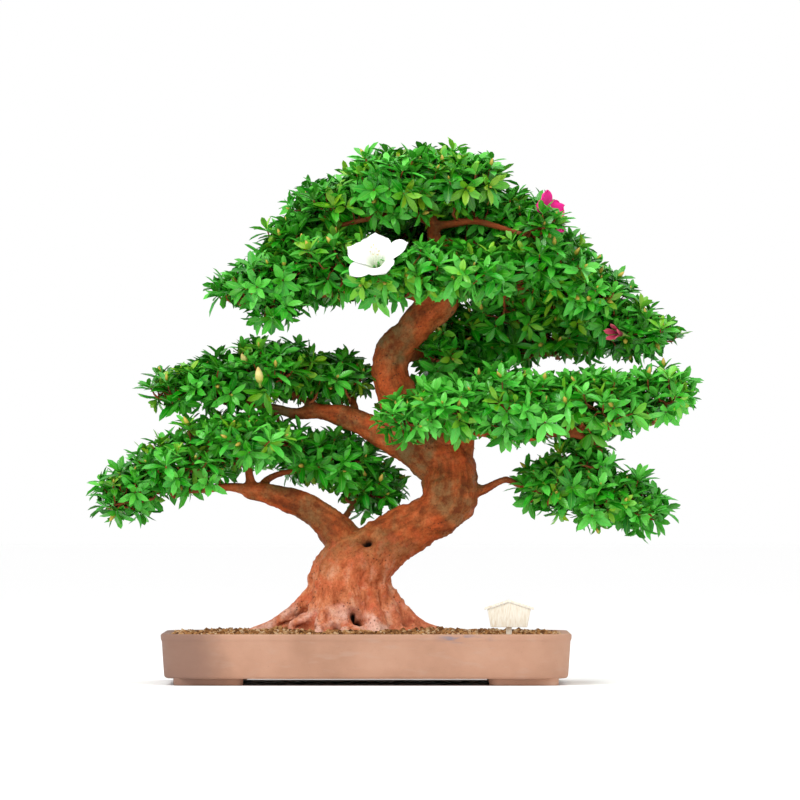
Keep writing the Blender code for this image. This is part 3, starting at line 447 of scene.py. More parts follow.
def makeWood():
    # a tube round each centre line, merged, whose skin then moves along its normals by a sum of waves and noise
    many, few = wood["sides"]
    thick = [path[:, 3].max() > wood["thickFrom"] for path in woodPaths]
    shapes = [tubes(path[None], many if wide else few, 0.02) for path, wide in zip(woodPaths, thick)]
    piece = newPiece("tree", *joined(shapes))
    # the crossing tubes become one skin
    addModifier(piece, "REMESH", mode="VOXEL", voxel_size=wood["voxel"] * mm)
    addModifier(piece, "SMOOTH", factor=0.5, iterations=5)
    applyModifiers(piece)
    mesh = piece.data
    points, normals = getPoints(mesh), getVectors(mesh.vertex_normals, "vector").astype(float)
    near = samples[nearestWood(points, samples)[0]]
    radius, along, side, run = near[:, 3], near[:, 4:7], near[:, 7:10], near[:, 10]
    out = points - near[:, :3]
    turn = np.arctan2((out * np.cross(along, side)).sum(1), (out * side).sum(1))
    girth = np.clip(radius / 16, 0.1, 1.6)
    # long shallow flutes that wind slowly round the wood, then lumps, then fine unevenness
    flutes = 0.022 * np.sin(3 * turn + run / 60) + 0.012 * np.sin(5 * turn - run / 48 + 1.3)
    lumps = 0.62 * softNoise(points, 38, 1) + 0.34 * softNoise(points, 15, 2) + 0.18 * softNoise(points, 6, 3)
    shift = radius.clip(0, 45) * flutes + lumps * girth
    # painted shade: how dark each deep hollow is painted, standing in for the shade inside it
    dark = np.zeros(len(points))
    for x, z, wide, tall, sink in wood["hollows"]:
        inside = np.exp(-1.1 * (((points[:, 0] - x) / wide) ** 2 + ((points[:, 2] - z) / tall) ** 2))
        inside *= points[:, 1] < wood["frontOf"]
        shift -= inside * sink
        dark = np.maximum(dark, inside * min(1, sink / wood["fullShadeFrom"]))
    # grooves between the roots: the square of the angle from the nearest root, fading out up the trunk
    deep, degrees, top, fading = wood["groove"]
    axisX, axisY = wood["rootAxis"]
    around = np.degrees(np.arctan2((points[:, 1] - axisY) / wood["rootSquash"], points[:, 0] - axisX))
    off = np.abs((around[:, None] - [root[0] for root in wood["roots"]] + 180) % 360 - 180).min(1)
    shift -= deep * (off / degrees).clip(0, 1) ** 2 * ((top - points[:, 2]) / fading).clip(0, 1)
    placePoints(mesh, points + normals * shift[:, None])
    mesh.update()
    # grain is a place that runs along the wood, so that streaks follow it: across, across, along
    grain = np.stack([np.cos(turn) * radius, np.sin(turn) * radius, run], 1) * mm
    setValues(mesh, hollow=dark, girth=radius, grain=grain)
    mesh.shade_smooth()
    return piece


def barkMaterial():
    material = newMaterial("bark", Specular_IOR_Level=0.12)
    place = objectPlace()
    height = separated(place)[2]
    blotches = noiseAt(place, 62, 5, 0.66)
    patches = noiseAt(place, 23, 4, 0.62)
    streaks = noiseAt(stretched(pointValue("grain", "Vector"), (1, 1, 0.3)), 150, 5, 0.6)
    fine = noiseAt(place, 430, 4, 0.65)
    blend = plus(times(blotches, 0.6), times(streaks, 0.4))
    colour = ramp(blend, (0.40, (0.15, 0.037, 0.010)), (0.50, (0.27, 0.073, 0.018)),
                  (0.60, (0.42, 0.140, 0.045)))
    # olive-grey skin in broken patches, thicker high up, and hot red-orange in others
    grey = times(fade(patches, 0.46, 0.62), fade(blotches, 0.36, 0.60))
    mossy = mixColour(times(grey, fade(height, 0.12, 0.26, 0.45, 0.95)), colour, (0.190, 0.118, 0.046, 1))
    hot = times(fade(patches, 0.56, 0.36), fade(streaks, 0.36, 0.62, 0.2, 0.75))
    red = mixColour(hot, mossy, (0.50, 0.082, 0.018, 1))
    # the foot is paler and pinker with redder patches, and the roots' backs nearly white
    wander = plus(height, times(blotches, 0.045))
    ribs = noiseAt(objectPlace((1, 1, 0.3)), 125, 5, 0.6)
    rosy = ramp(ribs, (0.36, (0.44, 0.105, 0.040)), (0.50, (0.73, 0.235, 0.100)), (0.64, (0.84, 0.40, 0.24)))
    pink = mixColour(fade(wander, 0.185, 0.125, 0, 0.72), red, rosy)
    flush = times(fade(blotches, 0.55, 0.36), fade(ribs, 0.36, 0.60, 0.3, 0.9))
    flushed = mixColour(times(flush, fade(wander, 0.200, 0.130)), pink, (0.58, 0.115, 0.040, 1))
    chalk = times(fade(wander, 0.114, 0.090), fade(patches, 0.44, 0.60, 0.05, 0.65))
    pale = mixColour(chalk, flushed, (0.86, 0.58, 0.48, 1))
    # dark pores and specks and a fine grain, then darker twigs, and near-black painted shade in the deep hollows
    pores = addNode("TexVoronoi", {"Vector": place, "Scale": 230.0}, feature="F1").outputs["Distance"]
    pored = times(fade(pores, 0.24, 0.12), fade(noiseAt(place, 26, 2), 0.50, 0.60))
    specks = fade(fine, 0.60, 0.70, 0, 0.55)
    spotted = mixColour(calculate("MAXIMUM", times(pored, 0.8), specks), pale, (0.10, 0.036, 0.019, 1))
    grainy = mixColour(fade(fine, 0.44, 0.60, 0, 0.38), spotted, (0.52, 0.40, 0.34, 1), "MULTIPLY")
    twiggy = mixColour(fade(pointValue("girth"), 6.0, 2.0, 0, 0.6), grainy, (0.24, 0.060, 0.022, 1))
    # painted shade: the deep hollows are painted near black
    shadedHollows = mixColour(fade(pointValue("hollow"), 0.25, 0.70), twiggy, (0.010, 0.006, 0.004, 1))
    relief = minus(plus(times(blend, 1.2), times(fine, 0.35)), times(pored, 0.7))
    dress(shadedHollows, relief, 0.0015, 0.8, fade(blend, 0.4, 0.6, 0.80, 0.58))
    return material


bark = barkMaterial()
finishPiece(makeWood(), bark, "bark", "trunk")
print("wood done")

# foliage: each lobe is (x, y, z, half width, half depth, half height) out to the leaf tips
foliage = {
    "seed": 21,
    "tipInset": (18, 18, 14),  # from a lobe's edge to the foot of its outer whorls
    "tries": 2200,  # places tried in each lobe
    # layers of whorls from the outside in, with the places of the rows along a blade
    "layers": [
        {"share": 1.0, "spacing": 13.4, "leaves": 8, "length": (18, 25), "width": (7.8, 10),
         "rows": (0, 0.17, 0.46, 0.78, 1)},
        {"share": 0.76, "spacing": 16.5, "leaves": 6, "length": (20, 26), "width": (9, 11),
         "rows": (0, 0.3, 0.7, 1)},
        {"share": 0.48, "spacing": 22, "leaves": 6, "length": (22, 28), "width": (10, 12),
         "rows": (0, 0.3, 0.7, 1)},
    ],
    "pads": {
        "foliage_left_low_outer": [
            (-268, -24, 192, 24, 36, 16), (-248, -24, 208, 43, 50, 28), (-204, -22, 229, 60, 70, 32),
        ],
        "foliage_left_low_inner": [(-133, -8, 259, 77, 84, 33)],
        "foliage_left_low_back": [(-40, 42, 240, 60, 60, 34), (2, 54, 212, 42, 48, 34)],
        "foliage_left_mid": [
            (-208, 4, 313, 35, 44, 19), (-164, 6, 323, 58, 58, 28), (-105, 12, 335, 61, 76, 34),
            (-40, 44, 327, 56, 60, 30),
        ],
        "foliage_crown_left": [
            (-148, -8, 417, 28, 40, 15), (-114, -8, 424, 46, 58, 27), (-92, -6, 434, 58, 72, 34),
            (-42, 0, 447, 60, 98, 44), (12, -56, 437, 52, 64, 32), (-44, 76, 440, 52, 56, 35),
            (-98, -28, 402, 31, 42, 21), (-80, -4, 470, 38, 56, 32),
        ],
        "foliage_crown_top": [
            (-32, 6, 509, 56, 72, 34), (28, 0, 530, 62, 88, 44), (76, 0, 541, 48, 62, 36),
            (98, 4, 535, 58, 80, 36), (150, 26, 496, 64, 60, 34), (196, -2, 461, 42, 60, 33),
            (188, -62, 489, 26, 26, 18),
        ],
        "foliage_crown_right": [
            (62, -64, 438, 44, 48, 30), (114, -50, 437, 68, 70, 32), (186, 0, 446, 68, 88, 39),
            (232, -2, 418, 54, 70, 36),
        ],
        "foliage_crown_back": [(70, 86, 460, 86, 56, 42), (52, 86, 488, 52, 48, 30)],
        "foliage_right_upper": [
            (284, 14, 374, 56, 58, 28), (216, 48, 373, 68, 56, 27), (140, 68, 366, 66, 58, 30),
            (96, 56, 347, 52, 48, 35), (104, 42, 380, 46, 40, 30), (158, 30, 394, 58, 48, 25),
            (222, 28, 394, 58, 50, 25), (274, 10, 388, 44, 48, 25), (84, 22, 352, 32, 30, 26),
        ],
        "foliage_right_front": [
            (44, -64, 282, 36, 42, 26), (84, -66, 292, 58, 52, 33), (154, -56, 296, 66, 66, 43),
            (240, -34, 299, 68, 74, 41), (310, -14, 308, 50, 56, 31),
        ],
        "foliage_right_low": [
            (206, -20, 214, 48, 52, 37), (258, -16, 199, 60, 54, 35), (230, -24, 236, 38, 40, 29),
            (292, -14, 183, 38, 42, 22),
        ],
        "foliage_back": [(75, 96, 291, 64, 54, 32)],
    },
    "jitter": (0.89, 1.07), "strays": 0.06, "strayReach": (5, 11),  # strays stand out past the others, in mm
    # whorls keep off wood of this radius or more by this distance, and from this far behind a flower
    "thickWood": 7, "woodClear": 8, "behindFlower": 20,
    "rise": (0.28, 0.95), "droop": (0.25, 0.65), "fold": (0.15, 0.40), "roll": 0.28,  # of a blade, in radians
    "tone": (0.26, 0.80), "newShare": 0.20,  # how green a whorl is, and the share of whorls with new leaves
    # painted light and shade: pads that catch more light are painted brighter green, pads lying in shade behind or
    # under others deeper green
    "padLightAndShade": {
        "foliage_right_front": 0.16, "foliage_right_low": 0.05, "foliage_back": -0.18, "foliage_crown_back": -0.40,
        "foliage_left_mid": -0.10, "foliage_left_low_back": -0.08, "foliage_right_upper": -0.08,
    },
    # side branches in each lobe, and the radius of branches and stalks with what they lose to their ends
    "branches": 10, "branchRadius": (2.3, 1.2), "stalkRadius": (1.15, 0.35),
    "budShares": (0.13, 0.17),  # of the outer whorls that end in a fat bud, and in a slim one
}
# clear is how far beside its petals a flower keeps the whorls away; each petal is (direction in degrees,
# share of the reach, share of the width, lift, how pointed)
evenPetals = [(90 + 72 * k, 1, 1, 0, 0) for k in range(5)]
flowers = {
    "white_flower": {
        "at": (9, -112, 451), "faces": (-0.18, -1.0, 0.85), "radius": 32, "clear": 7,
        "tube": 24, "ruffle": 1.8, "width": 1.16, "curl": 0.15,
        "petals": [(94, 0.94, 1.40, 0, 0), (158, 1.0, 1.25, 0, 0.35), (228, 1.10, 1.15, -0.10, 0.6),
                   (298, 0.95, 1.40, 0, 0), (20, 1.20, 0.62, 0.30, 0.2)],
        "slot": "white_petal", "roughness": 0.5,
        "main": (0.84, 0.85, 0.83, 1), "edge": (0.90, 0.90, 0.90, 1), "throat": (0.60, 0.68, 0.48, 1),
    },
    "pink_flower": {
        "at": (194, -48, 500), "faces": (0.75, -0.62, 0.25), "radius": 25, "clear": -25,
        "tube": 20, "ruffle": 2.2, "width": 1.1, "curl": 0.1, "petals": evenPetals,
        "slot": "pink_petal", "roughness": 0.45,
        "main": (0.72, 0.002, 0.21, 1), "edge": (0.84, 0.004, 0.27, 1), "throat": (0.45, 0.0, 0.10, 1),
    },
    "spent_flower": {
        "at": (263, -47, 373), "faces": (-0.62, -0.78, 0.05), "radius": 9, "clear": 5,
        "tube": 18, "ruffle": 1.6, "width": 0.8, "curl": -0.3, "petals": evenPetals,
        "slot": "spent_petal", "roughness": 0.6,
        "main": (0.46, 0.035, 0.10, 1), "edge": (0.60, 0.09, 0.14, 1), "throat": (0.13, 0.004, 0.02, 1),
    },
}


def leafBlades(rows, foot, outward, up, *habits):
    # One row of each argument makes one leaf. Its midrib leaves the foot at the angle rise from outward towards
    # up and turns down evenly by droop, so its place is the closed sum of the turning direction. Its half width
    # is a sine of the length to the power 1.12, and the two halves fold up from the midrib. Points: foot, rings
    # of left, top, right, under, then tip.
    length, width, rise, droop, fold, roll = (habit[:, None, None] for habit in habits)
    foot, outward, up = foot[:, None], outward[:, None], up[:, None]
    t = np.array(rows)[None, :, None]
    angle = rise - droop * t
    reach = (np.sin(rise) - np.sin(angle)) / droop * length
    lift = (np.cos(angle) - np.cos(rise)) / droop * length
    spine = foot + outward * reach + up * lift
    tangent = outward * np.cos(angle) + up * np.sin(angle)
    normal = up * np.cos(angle) - outward * np.sin(angle)
    side = np.cross(normal, tangent)
    turn = roll * t
    side, normal = side * np.cos(turn) + normal * np.sin(turn), normal * np.cos(turn) - side * np.sin(turn)
    half = width / 2 * np.sin(math.pi * t ** 1.12).clip(0) ** 0.85
    spread, raised = np.cos(fold) * half, np.sin(fold) * half
    left = spine + side * spread + normal * raised
    right = spine - side * spread + normal * raised
    rings = np.stack([left, spine + normal * 0.05, right, spine - normal * 0.40], axis=2)[:, 1:-1]
    return np.concatenate([spine[:, :1], rings.reshape(len(foot), -1, 3), spine[:, -1:]], axis=1)


def leafMesh(name, parts):
    # every part is (rows along a blade, blades, tone, young), and all go into one mesh
    shapes, columns = [], []
    for rows, blades, tone, young in parts:
        count, perLeaf = blades.shape[:2]
        inner = len(rows) - 2
        shapes.append((blades.reshape(-1, 3), ringFaces(count, inner, 4)))
        # each point of a blade: its place across and along, whether it is underneath and whether on the margin
        rings = [np.tile([0, 0.5, 1, 0.5], inner), np.repeat(rows[1:-1], 4),
                 np.tile([0, 0, 0, 1], inner), np.tile([1, 0, 1, 0], inner)]
        oneLeaf = np.vstack([[0.5, 0, 0.3, 1], np.stack(rings, 1), [0.5, 1, 0.3, 1]])
        columns.append(np.column_stack([
            np.tile(oneLeaf, (count, 1)), np.repeat(tone, perLeaf), np.repeat(young, perLeaf),
        ]))
    mesh = buildMesh(name, *joined(shapes))
    columns = np.vstack(columns)
    setUv(mesh, columns[:, :2])
    setValues(mesh, tone=columns[:, 4], young=columns[:, 5], under=columns[:, 2])
    # the margins are sharp edges, so that the top and the underside are lit apart
    ends = np.empty(len(mesh.edges) * 2, np.int32)
    mesh.edges.foreach_get("vertices", ends)
    sharp = columns[ends.reshape(-1, 2), 3].all(1)
    mesh.attributes.new("sharp_edge", "BOOLEAN", "EDGE").data.foreach_set("value", sharp)
    return mesh


def lobeDepth(points, lobes, inset):
    # how far inside each lobe a point is: below 1 is inside
    lobes = np.array(lobes, float)
    return np.linalg.norm((points[:, None] - lobes[None, :, :3]) / (lobes[None, :, 3:] - inset), axis=2)


def clearOfFlowers(points):
    clear = np.ones(len(points), bool)
    for flower in flowers.values():
        faces = unit(np.array(flower["faces"]))
        off = points - flower["at"]
        ahead = off @ faces
        beside = np.linalg.norm(off - ahead[:, None] * faces, axis=1)
        clear &= (ahead <= -foliage["behindFlower"]) | (beside >= flower["radius"] + flower["clear"])
    return clear


def shootPlaces():
    # whorls spread over every lobe in layers, clear of each other, of the flowers and of the thick wood
    draw = np.random.default_rng(foliage["seed"])
    inset = np.array(foliage["tipInset"], float)
    everyLobe = [lobe for lobes in foliage["pads"].values() for lobe in lobes]
    thick = samples[samples[:, 3] > foliage["thickWood"]]
    tries = foliage["tries"]
    places = {pad: [] for pad in foliage["pads"]}
    for number, layer in enumerate(foliage["layers"]):
        known = np.full((1, 3), 1e4)
        for pad, lobes in foliage["pads"].items():
            for lobe in lobes:
                centre, radii = np.array(lobe[:3], float), (np.array(lobe[3:], float) - inset) * layer["share"]
                direction = unit(draw.normal(size=(tries, 3)))
                outward = unit(direction / radii)
                points = centre + direction * radii * draw.uniform(*foliage["jitter"], (tries, 1))
                stray = (draw.uniform(size=(tries, 1)) < foliage["strays"]) & (number == 0)
                points += outward * stray * draw.uniform(*foliage["strayReach"], (tries, 1))
                keep = (outward[:, 2] > -0.35) | (draw.uniform(size=tries) < 0.3)  # few hang underneath
                keep &= lobeDepth(points, everyLobe, inset).min(1) > layer["share"] - 0.14
                keep &= clearOfFlowers(points)
                keep &= nearestWood(points, thick)[1] > foliage["woodClear"]
                taken = known[np.linalg.norm(known - centre, axis=1) < radii.max() * 1.1 + layer["spacing"]]
                fresh = []
                for point, out in zip(points[keep], outward[keep]):
                    if len(taken) == 0 or np.linalg.norm(taken - point, axis=1).min() > layer["spacing"]:
                        taken = np.vstack([taken, point])
                        fresh.append(point)
                        places[pad].append((number, point, out))
                known = np.vstack([known] + fresh)
    return places


def growFoliage():
    # the leaves of a whorl wind up round its axis by the golden angle, shorter and steeper towards the top
    draw = np.random.default_rng(foliage["seed"] + 1)
    upward = np.array([0, 0, 1.0])
    outer = []
    for pad, rows in shootPlaces().items():
        parts = []
        for number, layer in enumerate(foliage["layers"]):
            point = np.array([row[1] for row in rows if row[0] == number])
            out = np.array([row[2] for row in rows if row[0] == number])
            if len(point) == 0:
                continue
            lean = np.where(out[:, 2:] > -0.2, 0.72, 0.30)
            axis = unit(out * 0.58 + upward * lean + draw.normal(size=out.shape) * 0.20)
            if number == 0:
                outer.append(np.hstack([point, axis]))
            many, leaves = len(point), layer["leaves"]
            count = many * leaves

            def forWhorl(low, high):
                # one draw for all the leaves of a whorl
                return np.repeat(draw.uniform(low, high, many), leaves)

            turns = np.tile(np.arange(leaves), many)
            order = turns / leaves
            centre, axis = np.repeat(point, leaves, axis=0), np.repeat(axis, leaves, axis=0)
            side = unit(np.cross(axis, [0.2, 1, 0.1]))
            turn = forWhorl(0, math.tau) + turns * goldenAngle + draw.normal(size=count) * 0.16
            outward = side * np.cos(turn)[:, None] + np.cross(axis, side) * np.sin(turn)[:, None]
            size = (1.08 - 0.42 * order ** 1.5) * forWhorl(0.84, 1.14)
            length = draw.uniform(*layer["length"], count) * size
            width = draw.uniform(*layer["width"], count) * size ** 0.8
            flat, steeper = foliage["rise"]
            rise = flat + steeper * order ** 1.2 + draw.normal(size=count) * 0.15
            droop = draw.uniform(*foliage["droop"], count)
            fold = draw.uniform(*foliage["fold"], count)
            roll = draw.normal(size=count) * foliage["roll"]
            foot = centre - axis * (4 - 5 * order)[:, None] + outward * 0.8
            blades = leafBlades(layer["rows"], foot, outward, axis, length, width, rise, droop, fold, roll)
            isNew = forWhorl(0, 1) < foliage["newShare"]
            young = isNew * order ** 1.2 * draw.uniform(0.4, 0.9, count) + 0.10 * order
            # painted shade: each layer further in is painted darker by 0.12, on top of the whorl's random tone
            tone = forWhorl(*foliage["tone"]) + draw.normal(size=count) * 0.14 - 0.12 * number
            # painted light and shade for the whole pad
            tone += foliage["padLightAndShade"].get(pad, 0)
            parts.append((layer["rows"], blades, tone.clip(0, 1), young))
        finishPiece(newObject(pad.replace("foliage", "leaves"), leafMesh(pad, parts)), leafGreen, "leaf", pad)
    print("outer whorls:", sum(len(rows) for rows in outer))
    return np.vstack(outer)


def leafMaterial():
    material = newMaterial("leafGreen", Specular_IOR_Level=0.42)
    tone, young, under = (pointValue(name) for name in ("tone", "young", "under"))
    patch = noiseAt(objectPlace(), 260, 3)
    across = separated(uvPlace())
    offRib = calculate("ABSOLUTE", minus(across[0], 0.5))
    rib = fade(offRib, 0.060, 0.018)
    # side veins leave the midrib at a slant
    slant = minus(times(across[1], 7), times(offRib, 3))
    veins = calculate("ABSOLUTE", calculate("SINE", times(slant, math.pi)))
    varied = plus(tone, times(minus(patch, 0.5), 0.35))
    colour = ramp(varied, (0.05, (0.0002, 0.120, 0.0002)), (0.45, (0.010, 0.320, 0.004)),
                  (0.90, (0.110, 0.63, 0.070)))
    lit = mixColour(times(rib, 0.45), colour, (0.22, 0.60, 0.08, 1))
    fresh = mixColour(young, lit, (0.34, 0.56, 0.018, 1))
    below = mixColour(times(under, 0.45), fresh, (0.10, 0.36, 0.05, 1))
    gloss = plus(times(patch, 0.3), under)
    dress(below, minus(times(veins, 0.25), rib), 0.0004, 0.7, fade(gloss, 0.0, 1.0, 0.28, 0.60))
    return material


leafGreen = leafMaterial()
whorls = growFoliage()
print("leaves done")


def makeTwigs():
    # side branches reach from the limbs into each lobe, and a stalk reaches from the nearest of them to each
    # outer whorl: a cubic from the branch to the whorl's foot that ends along the whorl's axis
    draw = np.random.default_rng(foliage["seed"] + 2)
    thin = samples[(samples[:, 3] < 10) & (samples[:, 2] > 120)]
    count, stations = foliage["branches"], 9
    k = np.arange(count)
    share = np.sqrt((k + 0.5) / count) * 0.62
    starts, ends = [], []
    for lobe in np.array([lobe for lobes in foliage["pads"].values() for lobe in lobes], float):
        turn = draw.uniform(0, math.tau) + k * goldenAngle
        off = np.stack([np.cos(turn) * share, np.sin(turn) * share, draw.uniform(-0.35, 0.1, count)], 1)
        ends.append(lobe[:3] + off * lobe[3:])
        starts.append(thin[np.linalg.norm(ends[-1][:, None] - thin[None, :, :3], axis=2).argmin(1), :3])
    start, end = np.vstack(starts)[:, None], np.vstack(ends)[:, None]
    t = np.linspace(0, 1, stations)[None, :, None]
    bow = draw.normal(size=(len(start), 1, 3)) * 5 - [0, 0, 5]
    wobble = draw.normal(size=(len(start), stations, 3)) * 0.8 * (t > 0)
    branch = start + (end - start) * t + bow * 4 * t * (1 - t) + wobble
    tips, axes = whorls[:, :3], whorls[:, 3:]
    known = np.vstack([branch[:, 2:].reshape(-1, 3), thin[:, :3]])
    near = known[np.array([np.linalg.norm(known - tip, axis=1).argmin() for tip in tips - axes * 12])]
    span = np.linalg.norm(tips - near, axis=1)[:, None, None]
    p0, p3 = near[:, None], (tips - axes * 2)[:, None]
    p1, p2 = p0 + (p3 - p0) * 0.35 + [0, 0, 1.5], p3 - axes[:, None] * span * 0.4
    u = np.linspace(0, 1, 4)[None, :, None]
    stalk = p0 * (1 - u) ** 3 + 3 * p1 * u * (1 - u) ** 2 + 3 * p2 * u**2 * (1 - u) + p3 * u**3

    def thinning(paths, along, radius):
        thick, loss = radius
        return np.concatenate([paths, np.broadcast_to(thick - loss * along, paths.shape[:2] + (1,))], axis=2)

    branches, stalks = thinning(branch, t, foliage["branchRadius"]), thinning(stalk, u, foliage["stalkRadius"])
    piece = newPiece("twigs", *joined([tubes(branches, 5), tubes(stalks, 3)]))
    points = getPoints(piece.data)
    setValues(piece.data, girth=np.full(len(points), 2.0), hollow=np.zeros(len(points)), grain=points * mm)
    return piece


def makeShootBuds():
    # a spindle along the whorl's axis: fat buds on some whorls, slim ones on others
    draw = np.random.default_rng(foliage["seed"] + 3)
    fat, slim = foliage["budShares"]
    chance = draw.uniform(size=len(whorls))
    chosen = whorls[chance < fat + slim]
    isFat = chance[chance < fat + slim] < fat
    radius = np.where(isFat, draw.uniform(2.3, 3.0, len(chosen)), draw.uniform(1.2, 1.7, len(chosen)))
    length = radius * draw.uniform(3.2, 3.9, len(chosen))
    along, swell = np.array([0.0, 0.3, 0.65, 1.0]), np.array([0.55, 1.0, 0.72, 0.18])
    axes = unit(chosen[:, 3:] + draw.normal(size=(len(chosen), 3)) * 0.15)
    start = chosen[:, :3] + axes * 2.0
    path = start[:, None] + axes[:, None] * (along * length[:, None])[..., None]
    path = np.concatenate([path, (radius[:, None] * swell)[..., None]], axis=2)
    sides = 5
    piece = newPiece("shoot_buds", *tubes(path, sides))
    setValues(piece.data, height=np.tile(np.concatenate([[0], np.repeat(along, sides), [1]]), len(chosen)))
    return piece


def budMaterial(name, *stops):
    material = newMaterial(name, Roughness=0.45, Specular_IOR_Level=0.3)
    dress(ramp(plus(pointValue("height"), times(noiseAt(objectPlace(), 500), 0.3)), *stops))
    return material


finishPiece(makeTwigs(), bark, "bark")
ochre = budMaterial("shootBud", (0.10, (0.12, 0.24, 0.02)), (0.45, (0.40, 0.33, 0.035)),
                    (0.9, (0.56, 0.40, 0.07)))
finishPiece(makeShootBuds(), ochre, "bud")
print("twigs done")

# the tray, in mm
tray = {
    "width": 435, "depth": 296, "height": 54, "corner": 46, "cornerSteps": 14, "taper": 3,
    "wall": 11, "floorTop": 15, "lip": 1.9, "innerLip": 1.6, "rimDrop": 7,
    # the outside from below, as (inset, z)
    "bottom": [(6.0, 7.0), (4.2, 7.15), (2.8, 7.7), (1.8, 8.7), (1.3, 10.2), (1.1, 20), (1.0, 34)],
    "rim": [(0.95, -1.2), (0.7, -0.2), (0.25, 0.8), (0.0, 1.8)],  # (inset, z from the band's lower edge)
    "foot": (74, 26), "footInset": 14,
    "footProfile": [(0.0, 2.0), (0.5, 1.0), (1.5, 0.4), (9.0, 0.0)],  # (z, how much narrower than the foot)
    "drainX": 110, "drainRadius": 13, "smoothBelow": 35,  # degrees
}


def roundedLoop(width, depth, corner, z, steps):
    # a rectangle with quarter circles at its corners, counterclockwise from the right front
    turn = np.linspace(0, math.pi / 2, steps + 1)
    quarter = np.stack([np.cos(turn), np.sin(turn)], 1) * corner
    rows = []
    for k, (sx, sy) in enumerate(((1, 1), (-1, 1), (-1, -1), (1, -1))):
        c, s = round(math.cos(k * math.pi / 2)), round(math.sin(k * math.pi / 2))
        turned = quarter @ np.array([[c, s], [-s, c]])
        rows.append(turned + [sx * (width / 2 - corner), sy * (depth / 2 - corner)])
    flat = np.vstack(rows)
    return np.hstack([flat, np.full((len(flat), 1), z)])


def trayLoop(inset, z):
    # the tray's outline at a height, drawn in by the inset and by a taper that grows evenly from the rim down
    lean = tray["taper"] * (1 - z / tray["height"])
    width, depth = tray["width"] - 2 * (inset + lean), tray["depth"] - 2 * (inset + lean)
    return roundedLoop(width, depth, tray["corner"] - inset - lean, z, tray["cornerSteps"])


def cutOrJoin(piece, others, operation):
    for other in others:
        addModifier(piece, "BOOLEAN", operation=operation, object=other, solver="EXACT")
    applyModifiers(piece)
    for other in others:
        bpy.data.objects.remove(other)


def makePot():
    # the tray's outline carried along a profile: up the outside, over the rim in two quarter circles and down the
    # inside to the floor, with the feet joined on and the drain holes cut
    height, wall, lip, innerLip = tray["height"], tray["wall"], tray["lip"], tray["innerLip"]
    band = height - tray["rimDrop"]
    rise, fall = np.linspace(math.pi / 2, 0, 6), np.linspace(0, math.pi / 2, 6)
    profile = tray["bottom"] + [(inset, band + z) for inset, z in tray["rim"]]
    profile += [(lip - lip * math.sin(a), height - lip + lip * math.cos(a)) for a in rise]
    profile += [(wall - innerLip + innerLip * math.sin(a), height - innerLip + innerLip * math.cos(a))
                for a in fall]
    profile += [(wall, 40), (wall, tray["floorTop"])]
    pot = newPiece("tray", *loft([trayLoop(inset, z) for inset, z in profile]))
    length, width = tray["foot"]
    feet = []
    for sx in (-1, 1):
        for sy in (-1, 1):
            x = sx * (tray["width"] / 2 - tray["footInset"] - length / 2)
            y = sy * (tray["depth"] / 2 - tray["footInset"] - width / 2)
            feet.append(newPiece("foot", *loft([
                roundedLoop(length - cut, width - cut, width / 2 - 3 - cut / 2, z, 6) + [x, y, 0]
                for z, cut in tray["footProfile"]
            ])))
    cutOrJoin(pot, feet, "UNION")
    radius = tray["drainRadius"]
    cutOrJoin(pot, [
        newPiece("drain", *tubes(np.array([[[x, 0, 1.0, radius], [x, 0, 24.0, radius]]]), 40, 0.0))
        for x in (-tray["drainX"], tray["drainX"])
    ], "DIFFERENCE")
    pot.data.shade_smooth()
    pot.data.set_sharp_from_angle(angle=math.radians(tray["smoothBelow"]))
    return pot


def clayMaterial():
    material = newMaterial("clay", Specular_IOR_Level=0.3)
    place = objectPlace()
    x, y, z = separated(place)
    clouds = noiseAt(place, 11, 4, 0.6)
    wipes = noiseAt(objectPlace((1, 1, 4)), 28, 5, 0.6)
    specks = noiseAt(place, 900, 2, 0.6)
    colour = ramp(clouds, (0.32, (0.37, 0.197, 0.125)), (0.52, (0.45, 0.246, 0.162)),
                  (0.72, (0.51, 0.294, 0.200)))
    wiped = mixColour(fade(wipes, 0.52, 0.70, 0, 0.35), colour, (0.46, 0.31, 0.24, 1))
    # painted shade: the left end, turned away from the light, is painted greyer and darker
    leftEndShade = fade(plus(x, times(clouds, 0.06)), -0.105, -0.160, 0, 0.95)
    leftShaded = mixColour(leftEndShade, wiped, (0.225, 0.125, 0.090, 1))
    # a blue-grey scuff under the rim
    alongScuff = fade(calculate("ABSOLUTE", minus(x, 0.103)), 0.034, 0.012)
    upScuff = fade(calculate("ABSOLUTE", minus(z, 0.0495)), 0.006, 0.001)
    scuff = times(times(alongScuff, upScuff), fade(wipes, 0.44, 0.58))
    scuff = times(scuff, times(fade(y, -0.10, -0.14), 0.7))
    scuffed = mixColour(scuff, leftShaded, (0.15, 0.165, 0.225, 1))
    grained = mixColour(fade(specks, 0.62, 0.75, 0, 0.35), scuffed, (0.20, 0.10, 0.06, 1))
    dress(grained, plus(wipes, times(specks, 0.4)), 0.0006, 0.5, fade(wipes, 0.3, 0.7, 0.62, 0.82))
    return material


finishPiece(makePot(), clayMaterial(), "clay", "pot")
print("tray done")

# the soil
soil = {"edge": 51.5, "mound": 8, "rings": 44, "crumbs": 5200, "crumbSize": (1.3, 3.1), "corner": 33, "seed": 8}


def soilHeight(x, y):
    # level at the rim, with a low mound round the trunk: edge + mound * exp(-1.5 * distance squared)
    away = np.hypot((x - wood["rootAxis"][0]) / 150, y / 105)
    flat = np.stack([x, y, np.zeros_like(x)], -1).reshape(-1, 3)
    uneven = softNoise(flat, 34, 4).reshape(x.shape) * 0.7 + softNoise(flat, 9, 5).reshape(x.shape) * 0.35
    return soil["edge"] + soil["mound"] * np.exp(-1.5 * away**2) + uneven


